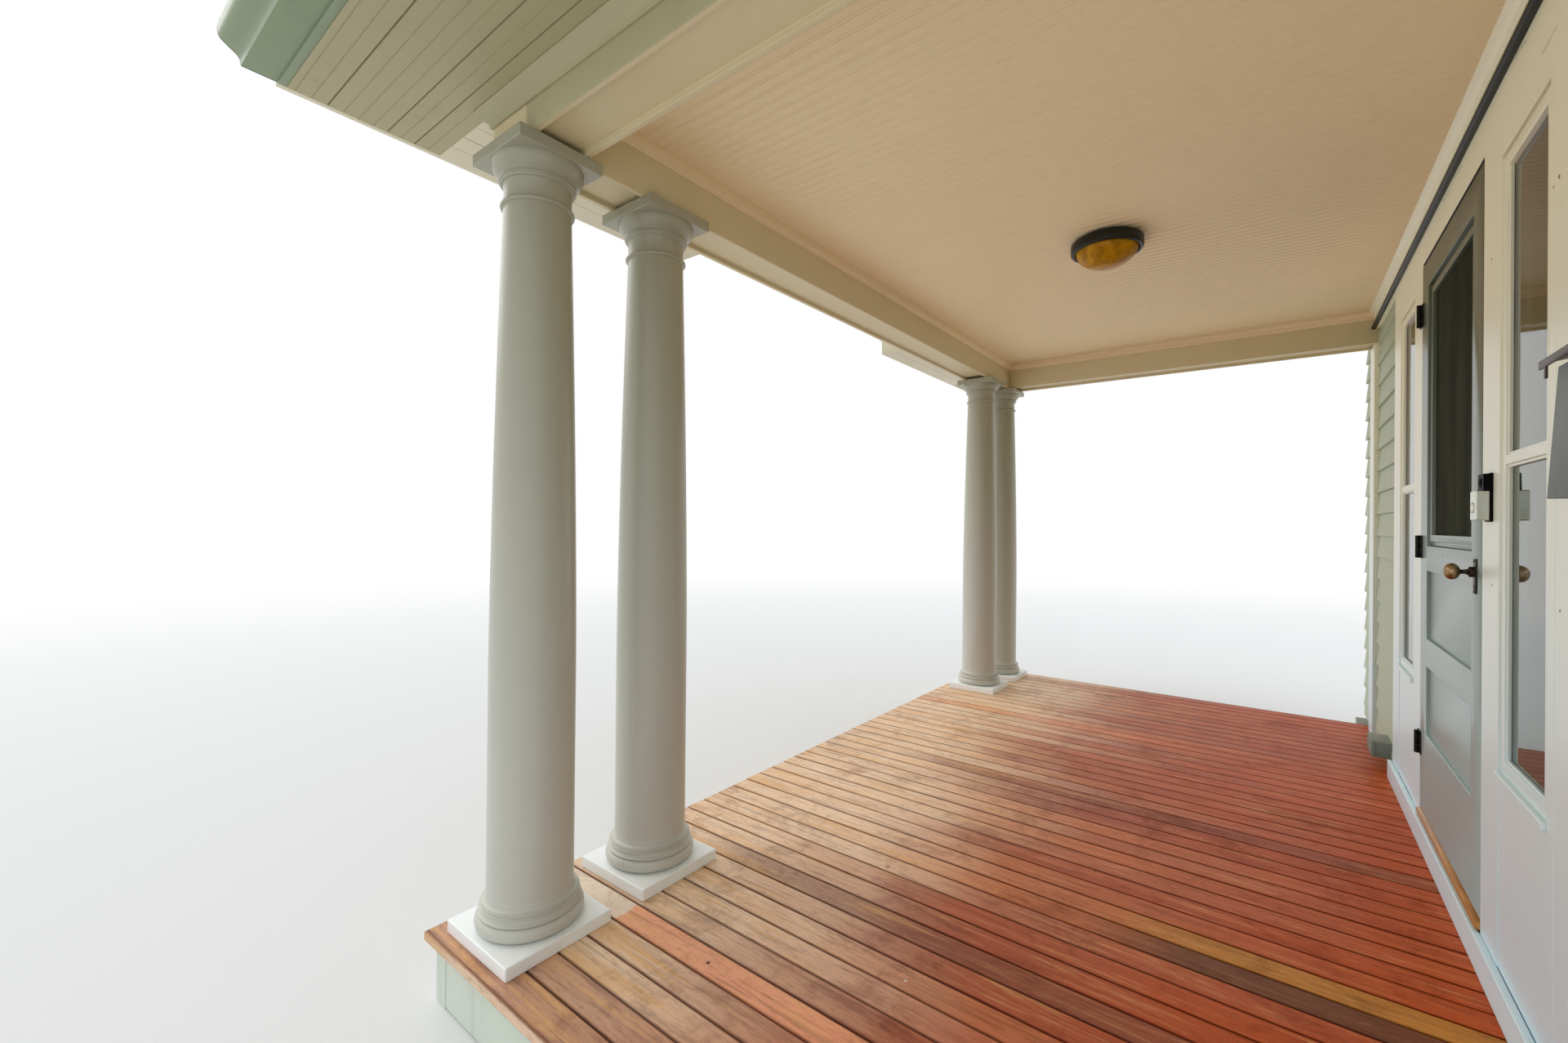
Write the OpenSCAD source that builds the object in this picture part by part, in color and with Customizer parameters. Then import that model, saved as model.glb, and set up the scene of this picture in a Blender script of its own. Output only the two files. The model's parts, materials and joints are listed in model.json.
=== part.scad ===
// Front porch with paired round columns, boxed beams, a beadboard ceiling and
// an entrance wall with two sidelights and a half-screened door.
// Millimetres. X runs along the house wall, -Y is the front, Z is up from the ground.
// Y = 0 is the face of the white boards round the entrance door.

/* [Deck] */
// length of the deck along the house wall
deck_length = 4430; // [4400:10:4480]
// depth of the deck from the entrance boards to its front edge
deck_depth = 2400; // [2350:5:2450]
// height of the deck's walking surface above the ground
deck_height = 200; // [190:5:260]
// thickness of the deck boards
board_thick = 25; // [20:1:32]
// how far the deck boards stick out past the skirt
nosing = 25; // [15:1:35]
// thickness of the skirt boards
skirt_thick = 19; // [15:1:25]
// height of the joists under the deck
joist_height = 140; // [120:5:150]
// thickness of the joists
joist_thick = 38; // [35:1:50]

/* [Columns] */
// clear height from the deck to the underside of the beams
column_height = 2272; // [2200:4:2400]
// distance between the two columns of a pair
pair_spacing = 450; // [430:5:480]
// distance from the deck's end to the centre of the outer column
end_to_column = 205; // [195:5:215]
// distance from the deck's front edge to the column centres
front_to_column = 220; // [210:5:240]
// side of the square plinth
plinth_size = 330; // [310:5:340]
// thickness of the square plinth
plinth_thick = 38; // [30:1:50]
// shaft diameter at the bottom
shaft_bottom_d = 242; // [230:2:256]
// shaft diameter at the top
shaft_top_d = 190; // [180:2:200]
// side of the square abacus on top of the column
abacus_size = 264; // [250:2:280]
// thickness of the abacus
abacus_thick = 35; // [28:1:40]

/* [Beams and ceiling] */
// width of the boxed beams
beam_width = 180; // [170:2:200]
// depth of the recess between the beam's side boards
beam_reveal = 15; // [8:1:20]
// thickness of the beam's side boards
beam_board = 19; // [16:1:22]
// height of the ceiling above the underside of the beams
ceiling_over_beam = 182; // [170:2:210]
// height of the eave soffit above the underside of the beams
soffit_over_beam = 128; // [120:2:140]
// height of the inside crown moulding
crown_height = 46; // [40:1:60]
// projection of the inside crown moulding
crown_out = 20; // [16:1:40]
// height of the bed moulding under the soffit
bed_height = 48; // [40:1:56]
// projection of the bed moulding
bed_out = 42; // [34:1:48]

/* [Roof] */
// overhang of the side eaves past the beam
eave_out = 407; // [390:1:450]
// overhang of the front past the beam
front_out = 355; // [340:5:400]
// distance from the middle to the end of the near eave return
near_return = 1050; // [950:10:1250]
// distance from the middle to the end of the far eave return
far_return = 885; // [850:5:1150]
// rise of the roof for each unit of run
roof_slope = 0.5; // [0.42:0.02:0.58]
// thickness of the roof covering with its boards
roof_thick = 30; // [24:1:40]
// depth of the sloping boards under the roof's front edge
rake_depth = 150; // [130:5:170]
// width of the gutter at its lip
gutter_width = 125; // [115:1:130]
// height of the gutter
gutter_height = 88; // [80:1:90]

/* [Entrance wall] */
// thickness of the house wall behind the boards
wall_thick = 140; // [120:5:180]
// thickness of the white boards round the entrance
trim_thick = 28; // [24:1:32]
// thickness of the lap siding
siding_thick = 14; // [12:1:16]
// half width of the white entrance boards
entrance_half = 1177; // [1150:1:1200]
// height of the frieze between the entrance boards and the ceiling
frieze_height = 110; // [100:1:120]
// height of the board over the door opening
head_height = 117; // [110:1:130]
// half width of the door opening
door_half = 460; // [455:1:470]
// top of the door sill above the deck
sill_top = 118; // [112:1:124]
// nearest edge of a sidelight to the middle of the door
light_in = 624; // [615:1:635]
// farthest edge of a sidelight from the middle of the door
light_out = 990; // [980:1:1000]
// bottom of the sidelight opening above the deck
light_bottom = 585; // [570:1:600]
// height of the panel over the sidelight
over_light = 77; // [70:1:90]
// middle of the sidelight's cross rail above the deck
light_rail = 1377; // [1300:1:1400]
// width of the sidelight's frame bars
sash_bar = 33; // [28:1:38]
// height of the sidelight's cross rail
rail_height = 24; // [20:1:34]
// drop of the roller shade below the top of the sidelight
shade_drop = 470; // [300:10:600]

/* [Screen door] */
// thickness of the door leaf
leaf_thick = 35; // [32:1:38]
// gap between the leaf and its opening
leaf_gap = 5; // [5:1:7]
// width of the door stiles
stile_width = 114; // [104:2:124]
// height of the door's top rail
top_rail = 97; // [85:1:110]
// bottom of the screened opening above the deck
screen_bottom = 1138; // [1100:1:1180]
// height of the lock rail under the screen
lock_rail = 94; // [85:1:110]
// height of the rail between the two panels
mid_rail = 105; // [90:1:120]
// height of the door's bottom rail
bottom_rail = 304; // [280:2:320]
// outside diameter of the hinge barrels
barrel_d = 16; // [14:1:18]
// diameter of the hinge pins
pin_d = 8; // [6:1:9]
// length of the hinge barrels
hinge_length = 88; // [80:1:100]
// diameter of the ball knob
knob_d = 48; // [44:1:52]

/* [Fittings] */
// width of the mailbox
mail_width = 340; // [300:5:380]
// height of the mailbox body
mail_height = 236; // [220:2:260]
// depth of the mailbox at its bottom
mail_depth = 104; // [95:1:120]
// height of the mailbox's bottom above the deck
mail_bottom = 1254; // [1150:2:1350]
// outside diameter of the ceiling light's ring
light_ring_d = 286; // [260:2:340]

/* [Hidden] */
$fn = 64;
eps = 1;

// clearance round a hinge pin
fit_gap = 0.08;

deck_half = deck_length / 2;
deck_front = -deck_depth;
wall_face = trim_thick;
wall_back = wall_face + wall_thick;
siding_face = wall_face - siding_thick;
pilaster_face = siding_face - 19;
foundation_front = -30;
foundation_back = wall_back + 10;
foundation_top = deck_height - board_thick;

skirt_x = deck_half - nosing;
skirt_y = deck_front + nosing;
joist_count = 5;

outer_col_x = deck_half - end_to_column;
inner_col_x = outer_col_x - pair_spacing;
col_y = deck_front + front_to_column;
col_xs = [outer_col_x, inner_col_x, -inner_col_x, -outer_col_x];

// turned base, shaft and capital
torus_out = 30;
torus_height = 44;
scotia_out = 22;
scotia_height = 20;
base_fillet = 5;
base_height = torus_height + scotia_height + 2 * base_fillet;
shaft_flare = 11;
astragal_height = 12;
neck_height = 56;
ring_height = 14;
ring_out = 9;
echinus_height = 48;
echinus_out = 34;
echinus_r = 46;
capital_height = astragal_height + neck_height + ring_height + echinus_height;
shaft_steps = 12;
shaft_z = deck_height + plinth_thick + base_height;
beam_bottom = deck_height + column_height;
capital_z = beam_bottom - abacus_thick - capital_height;

beam_out_x = outer_col_x + beam_width / 2;
beam_in_x = outer_col_x - beam_width / 2;
beam_front_y = col_y - beam_width / 2;
beam_back_y = col_y + beam_width / 2;
ceiling_z = beam_bottom + ceiling_over_beam;
ceiling_thick = 12;
beam_top = ceiling_z + ceiling_thick + 4;
soffit_z = beam_bottom + soffit_over_beam;
soffit_thick = 12;

fascia_thick = 20;
fascia_rise = 100;
eave_x = beam_out_x + eave_out;
fascia_x = eave_x + fascia_thick;
soffit_front_y = beam_front_y - front_out;
fascia_front_y = soffit_front_y - fascia_thick;
drip = 20;
roof_front_y = fascia_front_y - 15;
ridge_z = soffit_z + fascia_rise + fascia_x * roof_slope;
roof_up = roof_thick * sqrt(1 + roof_slope * roof_slope);
apron_slope = 0.15;
apron_gap = 0.5;
apron_thick = 16;
apron_over = 10;
panel_thick = 25;
cap_width = 150;
cap_thick = 8;

gutter_wall = 3;
gutter_floor = 76;
gutter_hem = 12;
gutter_end_drop = 8;
gutter_z = soffit_z + 8;
gutter_front_y = soffit_front_y - 10;

entrance_top = ceiling_z - frieze_height;
door_top = entrance_top - head_height;
light_top = door_top - over_light;
light_low = deck_height + light_bottom;
rough_half = door_half + 30;
rough_top = door_top + 30;
wall_rail_r = 13;

// boards at the foot of the entrance
base_board_height = 88;
base_board_out = 18;
sill_z = deck_height + sill_top;
sill_lip = 24;
sill_out = 10;

// the door frame's stop
stop_y = leaf_thick + leaf_gap;
stop_width = 16;
stop_depth = 18;

sash_y = 4;
sash_depth = 40;
glass_y = 16;
glass_thick = 4;
shade_thick = 3;
light_sill_height = 25;
light_sill_out = 16;

leaf_half = door_half - leaf_gap;
leaf_bottom = sill_z + leaf_gap;
leaf_top = door_top - leaf_gap;
leaf_open_x = leaf_half - stile_width;
screen_z0 = deck_height + screen_bottom;
screen_z1 = leaf_top - top_rail;
panel_top = screen_z0 - lock_rail;
panel_low = leaf_bottom + bottom_rail;
panel_height = (panel_top - panel_low - mid_rail) / 2;
panel_zs = [panel_low, panel_low + panel_height + mid_rail];
panel_y = 10;
door_panel_thick = 15;
insert_width = 42;
insert_flange = 18;
insert_y = 6;
insert_depth = 20;
mesh_thick = 2;

// hinges stand proud of the door's face
knuckles = 5;
knuckle_height = hinge_length / knuckles;
knuckle_gap = 0.5;
hinge_x = -door_half;
hinge_y = -barrel_d / 2 - 1;
low_hinge = 247;
mid_hinge = 1010;
top_hinge = 185;
hinge_zs = [leaf_bottom + low_hinge, leaf_bottom + mid_hinge, leaf_top - top_hinge];
leaf_plate_thick = 2.5;
leaf_plate_width = 34;
web_width = 8;

knob_x = leaf_half - 60;
knob_z = panel_top + lock_rail / 2 - 11;
knob_stem = 46;
handle_plate_thick = 4;
rosette_thick = 8;

bell_x = (door_half + light_in) / 2 - 34;
bell_z = deck_height + 1222;
bell_width = 62;
bell_height = 142;
bell_plate = 7;

mail_wall = 3;
mail_x = (entrance_half + beam_in_x) / 2 - mail_width / 2 + 6;
mail_z = deck_height + mail_bottom;
mail_top = mail_z + mail_height;
mail_top_depth = mail_depth - 12;
mail_slope = 14;
lid_gap = 5;
lid_over = 10;
lid_thick = 4;
lid_lip = 10;
lid_bar_d = 5;
lid_barrel_d = 10;
lid_y = siding_face - 10;
lid_z = mail_top + 9;

box_x = -entrance_half - 125;
box_width = 180;
box_depth = 62;
box_height = 77;
box_z = deck_height + 55;
box_seam = 2;
box_cover = 15;

light_y = (beam_back_y + siding_face) / 2;
ring_r = light_ring_d / 2;
ring_height_z = 46;
ring_lip = 16;
dome_top = 30;
dome_drop = 94;

// rectangular block given by its two opposite corners
module block(lo, hi) {
    translate(lo) cube(hi - lo);
}

// the same block on both sides of the porch
module both_blocks(lo, hi) {
    block(lo, hi);
    mirror([1, 0, 0]) block(lo, hi);
}

// children and their mirror image on the other side of the porch
module both_sides() {
    children();
    mirror([1, 0, 0]) children();
}

// outline in X and Z drawn out along Y from y0 to y1
module along_y(y0, y1) {
    translate([0, y1, 0]) rotate([90, 0, 0]) linear_extrude(y1 - y0) children();
}

// outline in Y and Z drawn out along X from x0 to x1
module along_x(x0, x1) {
    translate([x0, 0, 0]) rotate([90, 0, 90]) linear_extrude(x1 - x0) children();
}

// height of the roof's underside at distance x from the middle
function under_roof(x) = ridge_z - x * roof_slope;

// height of the underside of the returns' small roofs at distance y from the wall
function under_apron(y) = under_roof(fascia_x) + apron_slope * (y - roof_front_y);

// blocks over the two eave returns, set in from their inner ends and reaching out to x
module at_returns(inset, x, y0, y1, z0, z1) {
    block([near_return + inset, y0, z0], [x, y1, z1]);
    block([-x, y0, z0], [-far_return - inset, y1, z1]);
}

// Deck

module deck_boards() {
    color([0.62, 0.33, 0.2])
        block([-deck_half, deck_front, deck_height - board_thick],
              [deck_half, wall_face, deck_height]);
}

module skirt_front() {
    color([0.8, 0.83, 0.78])
        block([-skirt_x, skirt_y, 0], [skirt_x, skirt_y + skirt_thick, foundation_top]);
}

module skirt_sides() {
    color([0.8, 0.83, 0.78])
        both_blocks([skirt_x - skirt_thick, skirt_y + skirt_thick, 0],
                    [skirt_x, foundation_front, foundation_top]);
}

module deck_frame() {
    x = skirt_x - skirt_thick;
    y = skirt_y + skirt_thick;
    z = foundation_top - joist_height;
    run = foundation_front - y - joist_thick;
    color([0.7, 0.58, 0.4]) union() {
        both_blocks([x - joist_thick, y, z], [x, foundation_front, foundation_top]);
        for (i = [0 : joist_count + 1])
            translate([-x + eps, y + run * i / (joist_count + 1), z])
                cube([2 * (x - eps), joist_thick, joist_height]);
    }
}

module foundation() {
    color([0.55, 0.54, 0.52])
        block([-eave_x, foundation_front, 0], [eave_x, foundation_back, foundation_top]);
}

// Columns

module at_columns() {
    for (x = col_xs) translate([x, col_y, 0]) children();
}

module column_plinths() {
    color([0.93, 0.94, 0.92]) at_columns()
        translate([-plinth_size / 2, -plinth_size / 2, deck_height])
            cube([plinth_size, plinth_size, plinth_thick]);
}

// half-round torus, fillet, hollow scotia and a second fillet
module base_outline() {
    r = shaft_bottom_d / 2;
    torus_x = r + torus_out - torus_height / 2;
    square([torus_x, torus_height]);
    translate([torus_x, torus_height / 2]) circle(d = torus_height);
    translate([0, torus_height]) square([r + scotia_out, base_fillet]);
    difference() {
        translate([0, torus_height]) square([r + scotia_out - base_fillet, scotia_height + base_fillet]);
        translate([r + scotia_out, torus_height + base_fillet + scotia_height / 2])
            circle(d = scotia_height);
    }
    translate([0, base_height - base_fillet]) square([r + shaft_flare + 3, base_fillet]);
}

module column_bases() {
    color([0.93, 0.94, 0.92]) at_columns() translate([0, 0, deck_height + plinth_thick])
        rotate_extrude() base_outline();
}

// straight for the first third, then drawn in with a slight swell
function shaft_r(t) =
    t < 0.33 ? shaft_bottom_d / 2
    : shaft_bottom_d / 2 - (shaft_bottom_d - shaft_top_d) / 2 * pow((t - 0.33) / 0.67, 1.5);

// half section of the shaft with a hollow flare at its foot
module shaft_outline(h) {
    r = shaft_bottom_d / 2;
    polygon(concat([[0, 0]],
        [for (i = [0 : shaft_steps]) [shaft_r(i / shaft_steps), h * i / shaft_steps]],
        [[0, h]]));
    difference() {
        square([r + shaft_flare, shaft_flare + 2]);
        translate([r + shaft_flare, shaft_flare + 2]) circle(r = shaft_flare);
    }
}

module column_shafts() {
    color([0.95, 0.95, 0.93]) at_columns() translate([0, 0, shaft_z])
        rotate_extrude() shaft_outline(capital_z - shaft_z);
}

// astragal, neck, ring and rounded echinus under a square abacus
module capital_outline() {
    r = shaft_top_d / 2;
    echinus_z = capital_height - echinus_height;
    square([r + 3, astragal_height]);
    translate([r + 3, astragal_height / 2]) circle(d = astragal_height);
    translate([0, astragal_height]) square([r, neck_height]);
    translate([0, astragal_height + neck_height]) square([r + ring_out, ring_height]);
    intersection() {
        translate([r + echinus_out - echinus_r, capital_height]) circle(r = echinus_r);
        translate([0, echinus_z]) square([2 * r, echinus_height]);
    }
    translate([0, echinus_z]) square([r + echinus_out - echinus_r, echinus_height]);
}

module column_capitals() {
    color([0.95, 0.95, 0.93]) at_columns() translate([0, 0, capital_z]) {
        rotate_extrude() capital_outline();
        translate([-abacus_size / 2, -abacus_size / 2, capital_height])
            cube([abacus_size, abacus_size, abacus_thick]);
    }
}

// Beams, ceiling and soffits

// box section whose side boards hang below the bottom board
module beam_section() {
    difference() {
        translate([-beam_width / 2, 0]) square([beam_width, beam_top - beam_bottom]);
        translate([-beam_width / 2 + beam_board, -eps])
            square([beam_width - 2 * beam_board, beam_reveal + eps]);
    }
}

module front_beam() {
    color([0.86, 0.82, 0.72]) translate([0, col_y, beam_bottom])
        along_x(-beam_out_x, beam_out_x) beam_section();
}

module side_beams() {
    color([0.86, 0.82, 0.72]) both_sides() translate([outer_col_x, 0, beam_bottom])
        along_y(beam_back_y, wall_face) beam_section();
}

// stepped ogee under the soffit, x outwards, y up
module bed_outline() {
    polygon([[0, 0], [8, 0], [10, 12], [22, 20], [30, 34], [bed_out, bed_height - 6],
             [bed_out, bed_height], [0, bed_height]]);
}

module bed_front() {
    translate([0, beam_front_y, soffit_z - bed_height]) mirror([0, 1, 0])
        along_x(-beam_out_x - bed_out, beam_out_x + bed_out) bed_outline();
}

module bed_sides() {
    both_sides() translate([beam_out_x, 0, soffit_z - bed_height])
        along_y(beam_front_y - bed_out, siding_face) bed_outline();
}

// runs under the returns and the side eaves, mitred at the corners
module bed_mouldings() {
    color([0.84, 0.82, 0.72]) union() {
        intersection() {
            bed_front();
            at_returns(fascia_thick, beam_out_x, beam_front_y - bed_out, beam_front_y, 0, ridge_z);
        }
        intersection() {
            bed_front();
            bed_sides();
        }
        intersection() {
            bed_sides();
            both_blocks([beam_out_x, beam_front_y, 0], [beam_out_x + bed_out, siding_face, ridge_z]);
        }
    }
}

// cove with fillets inside under the ceiling, x outwards, y down
module crown_outline() {
    fillet = 5;
    foot = 10;
    difference() {
        square([crown_out, crown_height]);
        translate([crown_out, crown_height]) circle(r = crown_out - fillet);
        translate([fillet, crown_height - foot]) square([crown_out, foot + eps]);
    }
}

module crown_side(len) {
    translate([-len / 2, 0, 0]) rotate([90, 0, 90]) linear_extrude(len)
        mirror([0, 1]) crown_outline();
}

module crown_moulding() {
    depth = siding_face - beam_back_y;
    color([0.86, 0.82, 0.72]) translate([0, 0, ceiling_z]) union() {
        translate([0, beam_back_y, 0]) crown_side(2 * beam_in_x);
        translate([0, siding_face, 0]) mirror([0, 1, 0]) crown_side(2 * beam_in_x);
        both_sides() translate([beam_in_x, light_y, 0]) rotate([0, 0, 90]) crown_side(depth);
    }
}

module ceiling() {
    color([0.86, 0.8, 0.68])
        block([-beam_in_x, beam_back_y, ceiling_z], [beam_in_x, wall_face, ceiling_z + ceiling_thick]);
}

module soffit_front() {
    color([0.8, 0.76, 0.64])
        at_returns(fascia_thick, eave_x, soffit_front_y, beam_front_y,
                   soffit_z, soffit_z + soffit_thick);
}

module soffit_sides() {
    color([0.8, 0.76, 0.64])
        both_blocks([beam_out_x, beam_front_y, soffit_z], [eave_x, siding_face, soffit_z + soffit_thick]);
}

// Roof

module side_fascias() {
    color([0.62, 0.68, 0.6]) both_sides() along_y(soffit_front_y, wall_back)
        polygon([[eave_x, soffit_z], [fascia_x, soffit_z],
                 [fascia_x, under_roof(fascia_x)], [eave_x, under_roof(eave_x)]]);
}

// gable shape under the roof, from a level line up to the ridge
module gable_outline(half, z) {
    polygon([[-half, z], [half, z], [half, under_roof(half)], [0, ridge_z],
             [-half, under_roof(half)]]);
}

// front board of a return, or with depth its end board, cut to the small roof's slope
module return_board(x0, x1, depth) {
    y = soffit_front_y + depth;
    along_x(x0, x1) polygon([[fascia_front_y, soffit_z], [y, soffit_z],
                             [y, under_apron(y) - apron_gap],
                             [fascia_front_y, under_apron(fascia_front_y) - apron_gap]]);
}

// boxed eave returns: a front board and an end board over each pair of columns
module front_cornice() {
    depth = beam_front_y - soffit_front_y;
    color([0.62, 0.68, 0.6]) intersection() {
        union() {
            return_board(near_return, fascia_x, 0);
            return_board(near_return, near_return + fascia_thick, depth);
            return_board(-fascia_x, -far_return, 0);
            return_board(-far_return - fascia_thick, -far_return, depth);
        }
        along_y(fascia_front_y, beam_front_y) gable_outline(fascia_x, soffit_z);
    }
}

// small sloping roofs on the two returns
module pediment_apron() {
    color([0.36, 0.36, 0.37]) intersection() {
        along_x(-eave_x, eave_x) polygon([
            [roof_front_y, under_apron(roof_front_y)], [beam_front_y, under_apron(beam_front_y)],
            [beam_front_y, under_apron(beam_front_y) + apron_thick],
            [roof_front_y, under_apron(roof_front_y) + apron_thick]]);
        at_returns(-apron_over, eave_x, roof_front_y, beam_front_y, 0, ridge_z);
        along_y(roof_front_y, beam_front_y) gable_outline(eave_x, under_roof(fascia_x));
    }
}

module pediment_panel() {
    color([0.85, 0.84, 0.78]) along_y(beam_front_y, beam_front_y + panel_thick)
        gable_outline(eave_x, beam_top);
}

// two sloping bands under the roof that meet at the ridge and stop on a level line
module chevron(top, depth, z) {
    x_top = (top - z) / roof_slope;
    x_low = (top - depth - z) / roof_slope;
    polygon([[-x_top, z], [0, top], [x_top, z], [x_low, z], [0, top - depth], [-x_low, z]]);
}

// sloping fascia with the soffit board behind it
module rake_boards() {
    color([0.62, 0.68, 0.6]) union() {
        along_y(fascia_front_y, soffit_front_y)
            chevron(ridge_z, rake_depth, under_apron(soffit_front_y) + apron_thick);
        along_y(soffit_front_y - eps, beam_front_y)
            chevron(ridge_z - rake_depth + 2 * soffit_thick, soffit_thick,
                    under_apron(beam_front_y) + apron_thick);
    }
}

module roof_side() {
    x = fascia_x + drip;
    along_y(roof_front_y, wall_back) polygon([[0, ridge_z], [x, under_roof(x)],
        [x, under_roof(x) + roof_up], [0, ridge_z + roof_up]]);
}

module roof_near() {
    color([0.38, 0.38, 0.39]) roof_side();
}

module roof_far() {
    color([0.38, 0.38, 0.39]) mirror([1, 0, 0]) roof_side();
}

// folded cap that lies over both slopes at the ridge
module ridge_cap() {
    z = ridge_z + roof_up;
    foot = z - cap_width * roof_slope;
    color([0.34, 0.34, 0.35]) along_y(roof_front_y, wall_back)
        polygon([[-cap_width, foot], [0, z], [cap_width, foot],
                 [cap_width, foot + cap_thick], [0, z + cap_thick], [-cap_width, foot + cap_thick]]);
}

// moulded gutter section drawn in by its wall's thickness, x outwards, y up
module gutter_outline(inset) {
    w = gutter_width;
    h = gutter_height;
    face = [[gutter_floor, 0], [80, 18], [92, 30], [104, 38], [w - 6, 50], [w, 64], [w, h - 4]];
    polygon(concat([[inset, h + inset], [inset, inset]],
        [for (p = face) p + inset * [-0.7, 1]],
        [[w - gutter_hem, h + inset]]));
}

module gutter_shell() {
    difference() {
        gutter_outline(0);
        gutter_outline(gutter_wall);
    }
    translate([gutter_width - gutter_hem, gutter_height - gutter_hem / 2])
        square([gutter_hem - eps, gutter_wall]);
}

// end plate, cut lower than the lip to pass under the roof's edge
module gutter_end() {
    intersection() {
        gutter_outline(0);
        square([gutter_width, gutter_height - gutter_end_drop]);
    }
}

module gutters() {
    color([0.62, 0.68, 0.6]) both_sides() translate([fascia_x, 0, gutter_z]) union() {
        along_y(gutter_front_y, wall_back) gutter_shell();
        along_y(gutter_front_y, gutter_front_y + gutter_wall) gutter_end();
        along_y(wall_back - gutter_wall, wall_back) gutter_end();
    }
}

// House wall

module side_walls() {
    color([0.75, 0.72, 0.66])
        both_blocks([light_out, wall_face, foundation_top], [eave_x, wall_back, beam_top]);
}

module wall_posts() {
    color([0.75, 0.72, 0.66])
        both_blocks([rough_half, wall_face, foundation_top], [light_in, wall_back, rough_top]);
}

module wall_at_sidelights() {
    color([0.75, 0.72, 0.66]) {
        both_blocks([light_in, wall_face, foundation_top], [light_out, wall_back, light_low]);
        both_blocks([light_in, wall_face, light_top], [light_out, wall_back, rough_top]);
    }
}

module wall_over_door() {
    color([0.75, 0.72, 0.66])
        block([-light_out, wall_face, rough_top], [light_out, wall_back, beam_top]);
}

module wall_gable() {
    color([0.75, 0.72, 0.66]) along_y(wall_face, wall_back) gable_outline(eave_x, beam_top);
}

// inside and outside the porch, with the pilasters between
module siding() {
    color([0.72, 0.76, 0.68]) {
        both_blocks([entrance_half, siding_face, deck_height], [beam_in_x, wall_face, entrance_top]);
        both_blocks([beam_out_x, siding_face, deck_height],
                    [eave_x, wall_face, soffit_z + soffit_thick]);
    }
}

module pilasters() {
    color([0.88, 0.87, 0.82])
        both_blocks([beam_in_x, pilaster_face, deck_height], [beam_out_x, wall_face, beam_bottom]);
}

module casing_boards() {
    color([0.9, 0.9, 0.87]) {
        both_blocks([door_half, 0, deck_height], [light_in, wall_face, door_top]);
        both_blocks([light_out, 0, deck_height], [entrance_half, wall_face, door_top]);
    }
}

module sidelight_panels() {
    set_back = 2;
    color([0.9, 0.9, 0.87]) {
        both_blocks([light_in, set_back, deck_height], [light_out, wall_face, light_low]);
        both_blocks([light_in, set_back, light_top], [light_out, wall_face, door_top]);
    }
}

// board over the door with the frieze board that runs on above the siding
module head_casing() {
    frieze_top = ceiling_z - crown_height;
    color([0.9, 0.9, 0.87]) along_y(0, wall_face) polygon([
        [-entrance_half, door_top], [entrance_half, door_top], [entrance_half, entrance_top],
        [beam_in_x, entrance_top], [beam_in_x, frieze_top], [-beam_in_x, frieze_top],
        [-beam_in_x, entrance_top], [-entrance_half, entrance_top]]);
}

// dark half-round rail along the whole wall
module wall_rail() {
    r = wall_rail_r;
    color([0.16, 0.14, 0.12]) along_x(-beam_in_x, beam_in_x)
        translate([-r, entrance_top + 18]) {
            circle(r = r);
            translate([0, -r]) square([r, 2 * r]);
        }
}

module base_board() {
    color([0.92, 0.93, 0.92])
        block([-entrance_half, -base_board_out, deck_height],
              [entrance_half, 0, deck_height + base_board_height]);
}

// hardwood sill whose front lip hangs over a set-back riser
module door_sill() {
    riser_y = 6;
    slope = 5;
    color([0.78, 0.5, 0.22]) along_x(-door_half, door_half)
        polygon([[riser_y, deck_height], [wall_back, deck_height], [wall_back, sill_z],
                 [4, sill_z], [-sill_out, sill_z - slope], [-sill_out, sill_z - sill_lip],
                 [riser_y, sill_z - sill_lip]]);
}

// jambs and head with a stop that the leaf closes towards
module door_frame() {
    color([0.88, 0.88, 0.85]) union() {
        difference() {
            block([-rough_half, wall_face, sill_z], [rough_half, wall_back, rough_top]);
            block([-door_half, wall_face - eps, sill_z - eps], [door_half, wall_back + eps, door_top]);
        }
        both_blocks([door_half - stop_width, stop_y, sill_z],
                    [door_half + eps, stop_y + stop_depth, door_top]);
        block([-door_half - eps, stop_y, door_top - stop_width],
              [door_half + eps, stop_y + stop_depth, door_top + eps]);
    }
}

module inner_door() {
    color([0.2, 0.21, 0.2])
        block([-door_half, wall_back - 50, sill_z], [door_half, wall_back - 8, door_top]);
}

// Sidelights

// the panes below and above the cross rail, from y0 to y1
module at_panes(y0, y1) {
    rail = deck_height + light_rail;
    x0 = light_in + sash_bar;
    x1 = light_out - sash_bar;
    block([x0, y0, light_low + sash_bar], [x1, y1, rail - rail_height / 2]);
    block([x0, y0, rail + rail_height / 2], [x1, y1, light_top - sash_bar]);
}

module sidelight_sashes() {
    color([0.9, 0.9, 0.87]) both_sides() difference() {
        block([light_in, sash_y, light_low], [light_out, sash_y + sash_depth, light_top]);
        at_panes(sash_y - eps, sash_y + sash_depth + eps);
    }
}

module sidelight_glass() {
    color([0.6, 0.7, 0.7, 0.5]) both_sides() at_panes(glass_y, glass_y + glass_thick);
}

module sidelight_sills() {
    z = light_low - light_sill_height;
    color([0.92, 0.92, 0.9]) both_sides() along_x(light_in, light_out)
        polygon([[2, z], [-light_sill_out, z], [-light_sill_out, z + 15],
                 [2, light_low]]);
}

module roller_shades() {
    y = sash_y + sash_depth;
    color([0.55, 0.5, 0.4])
        both_blocks([light_in + sash_bar, y, light_top - shade_drop],
                    [light_out - sash_bar, y + shade_thick, light_top]);
}

// Screen door

// the leaf's two recessed panels, from y0 to y1
module at_panels(y0, y1) {
    for (z = panel_zs) block([-leaf_open_x, y0, z], [leaf_open_x, y1, z + panel_height]);
}

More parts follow.
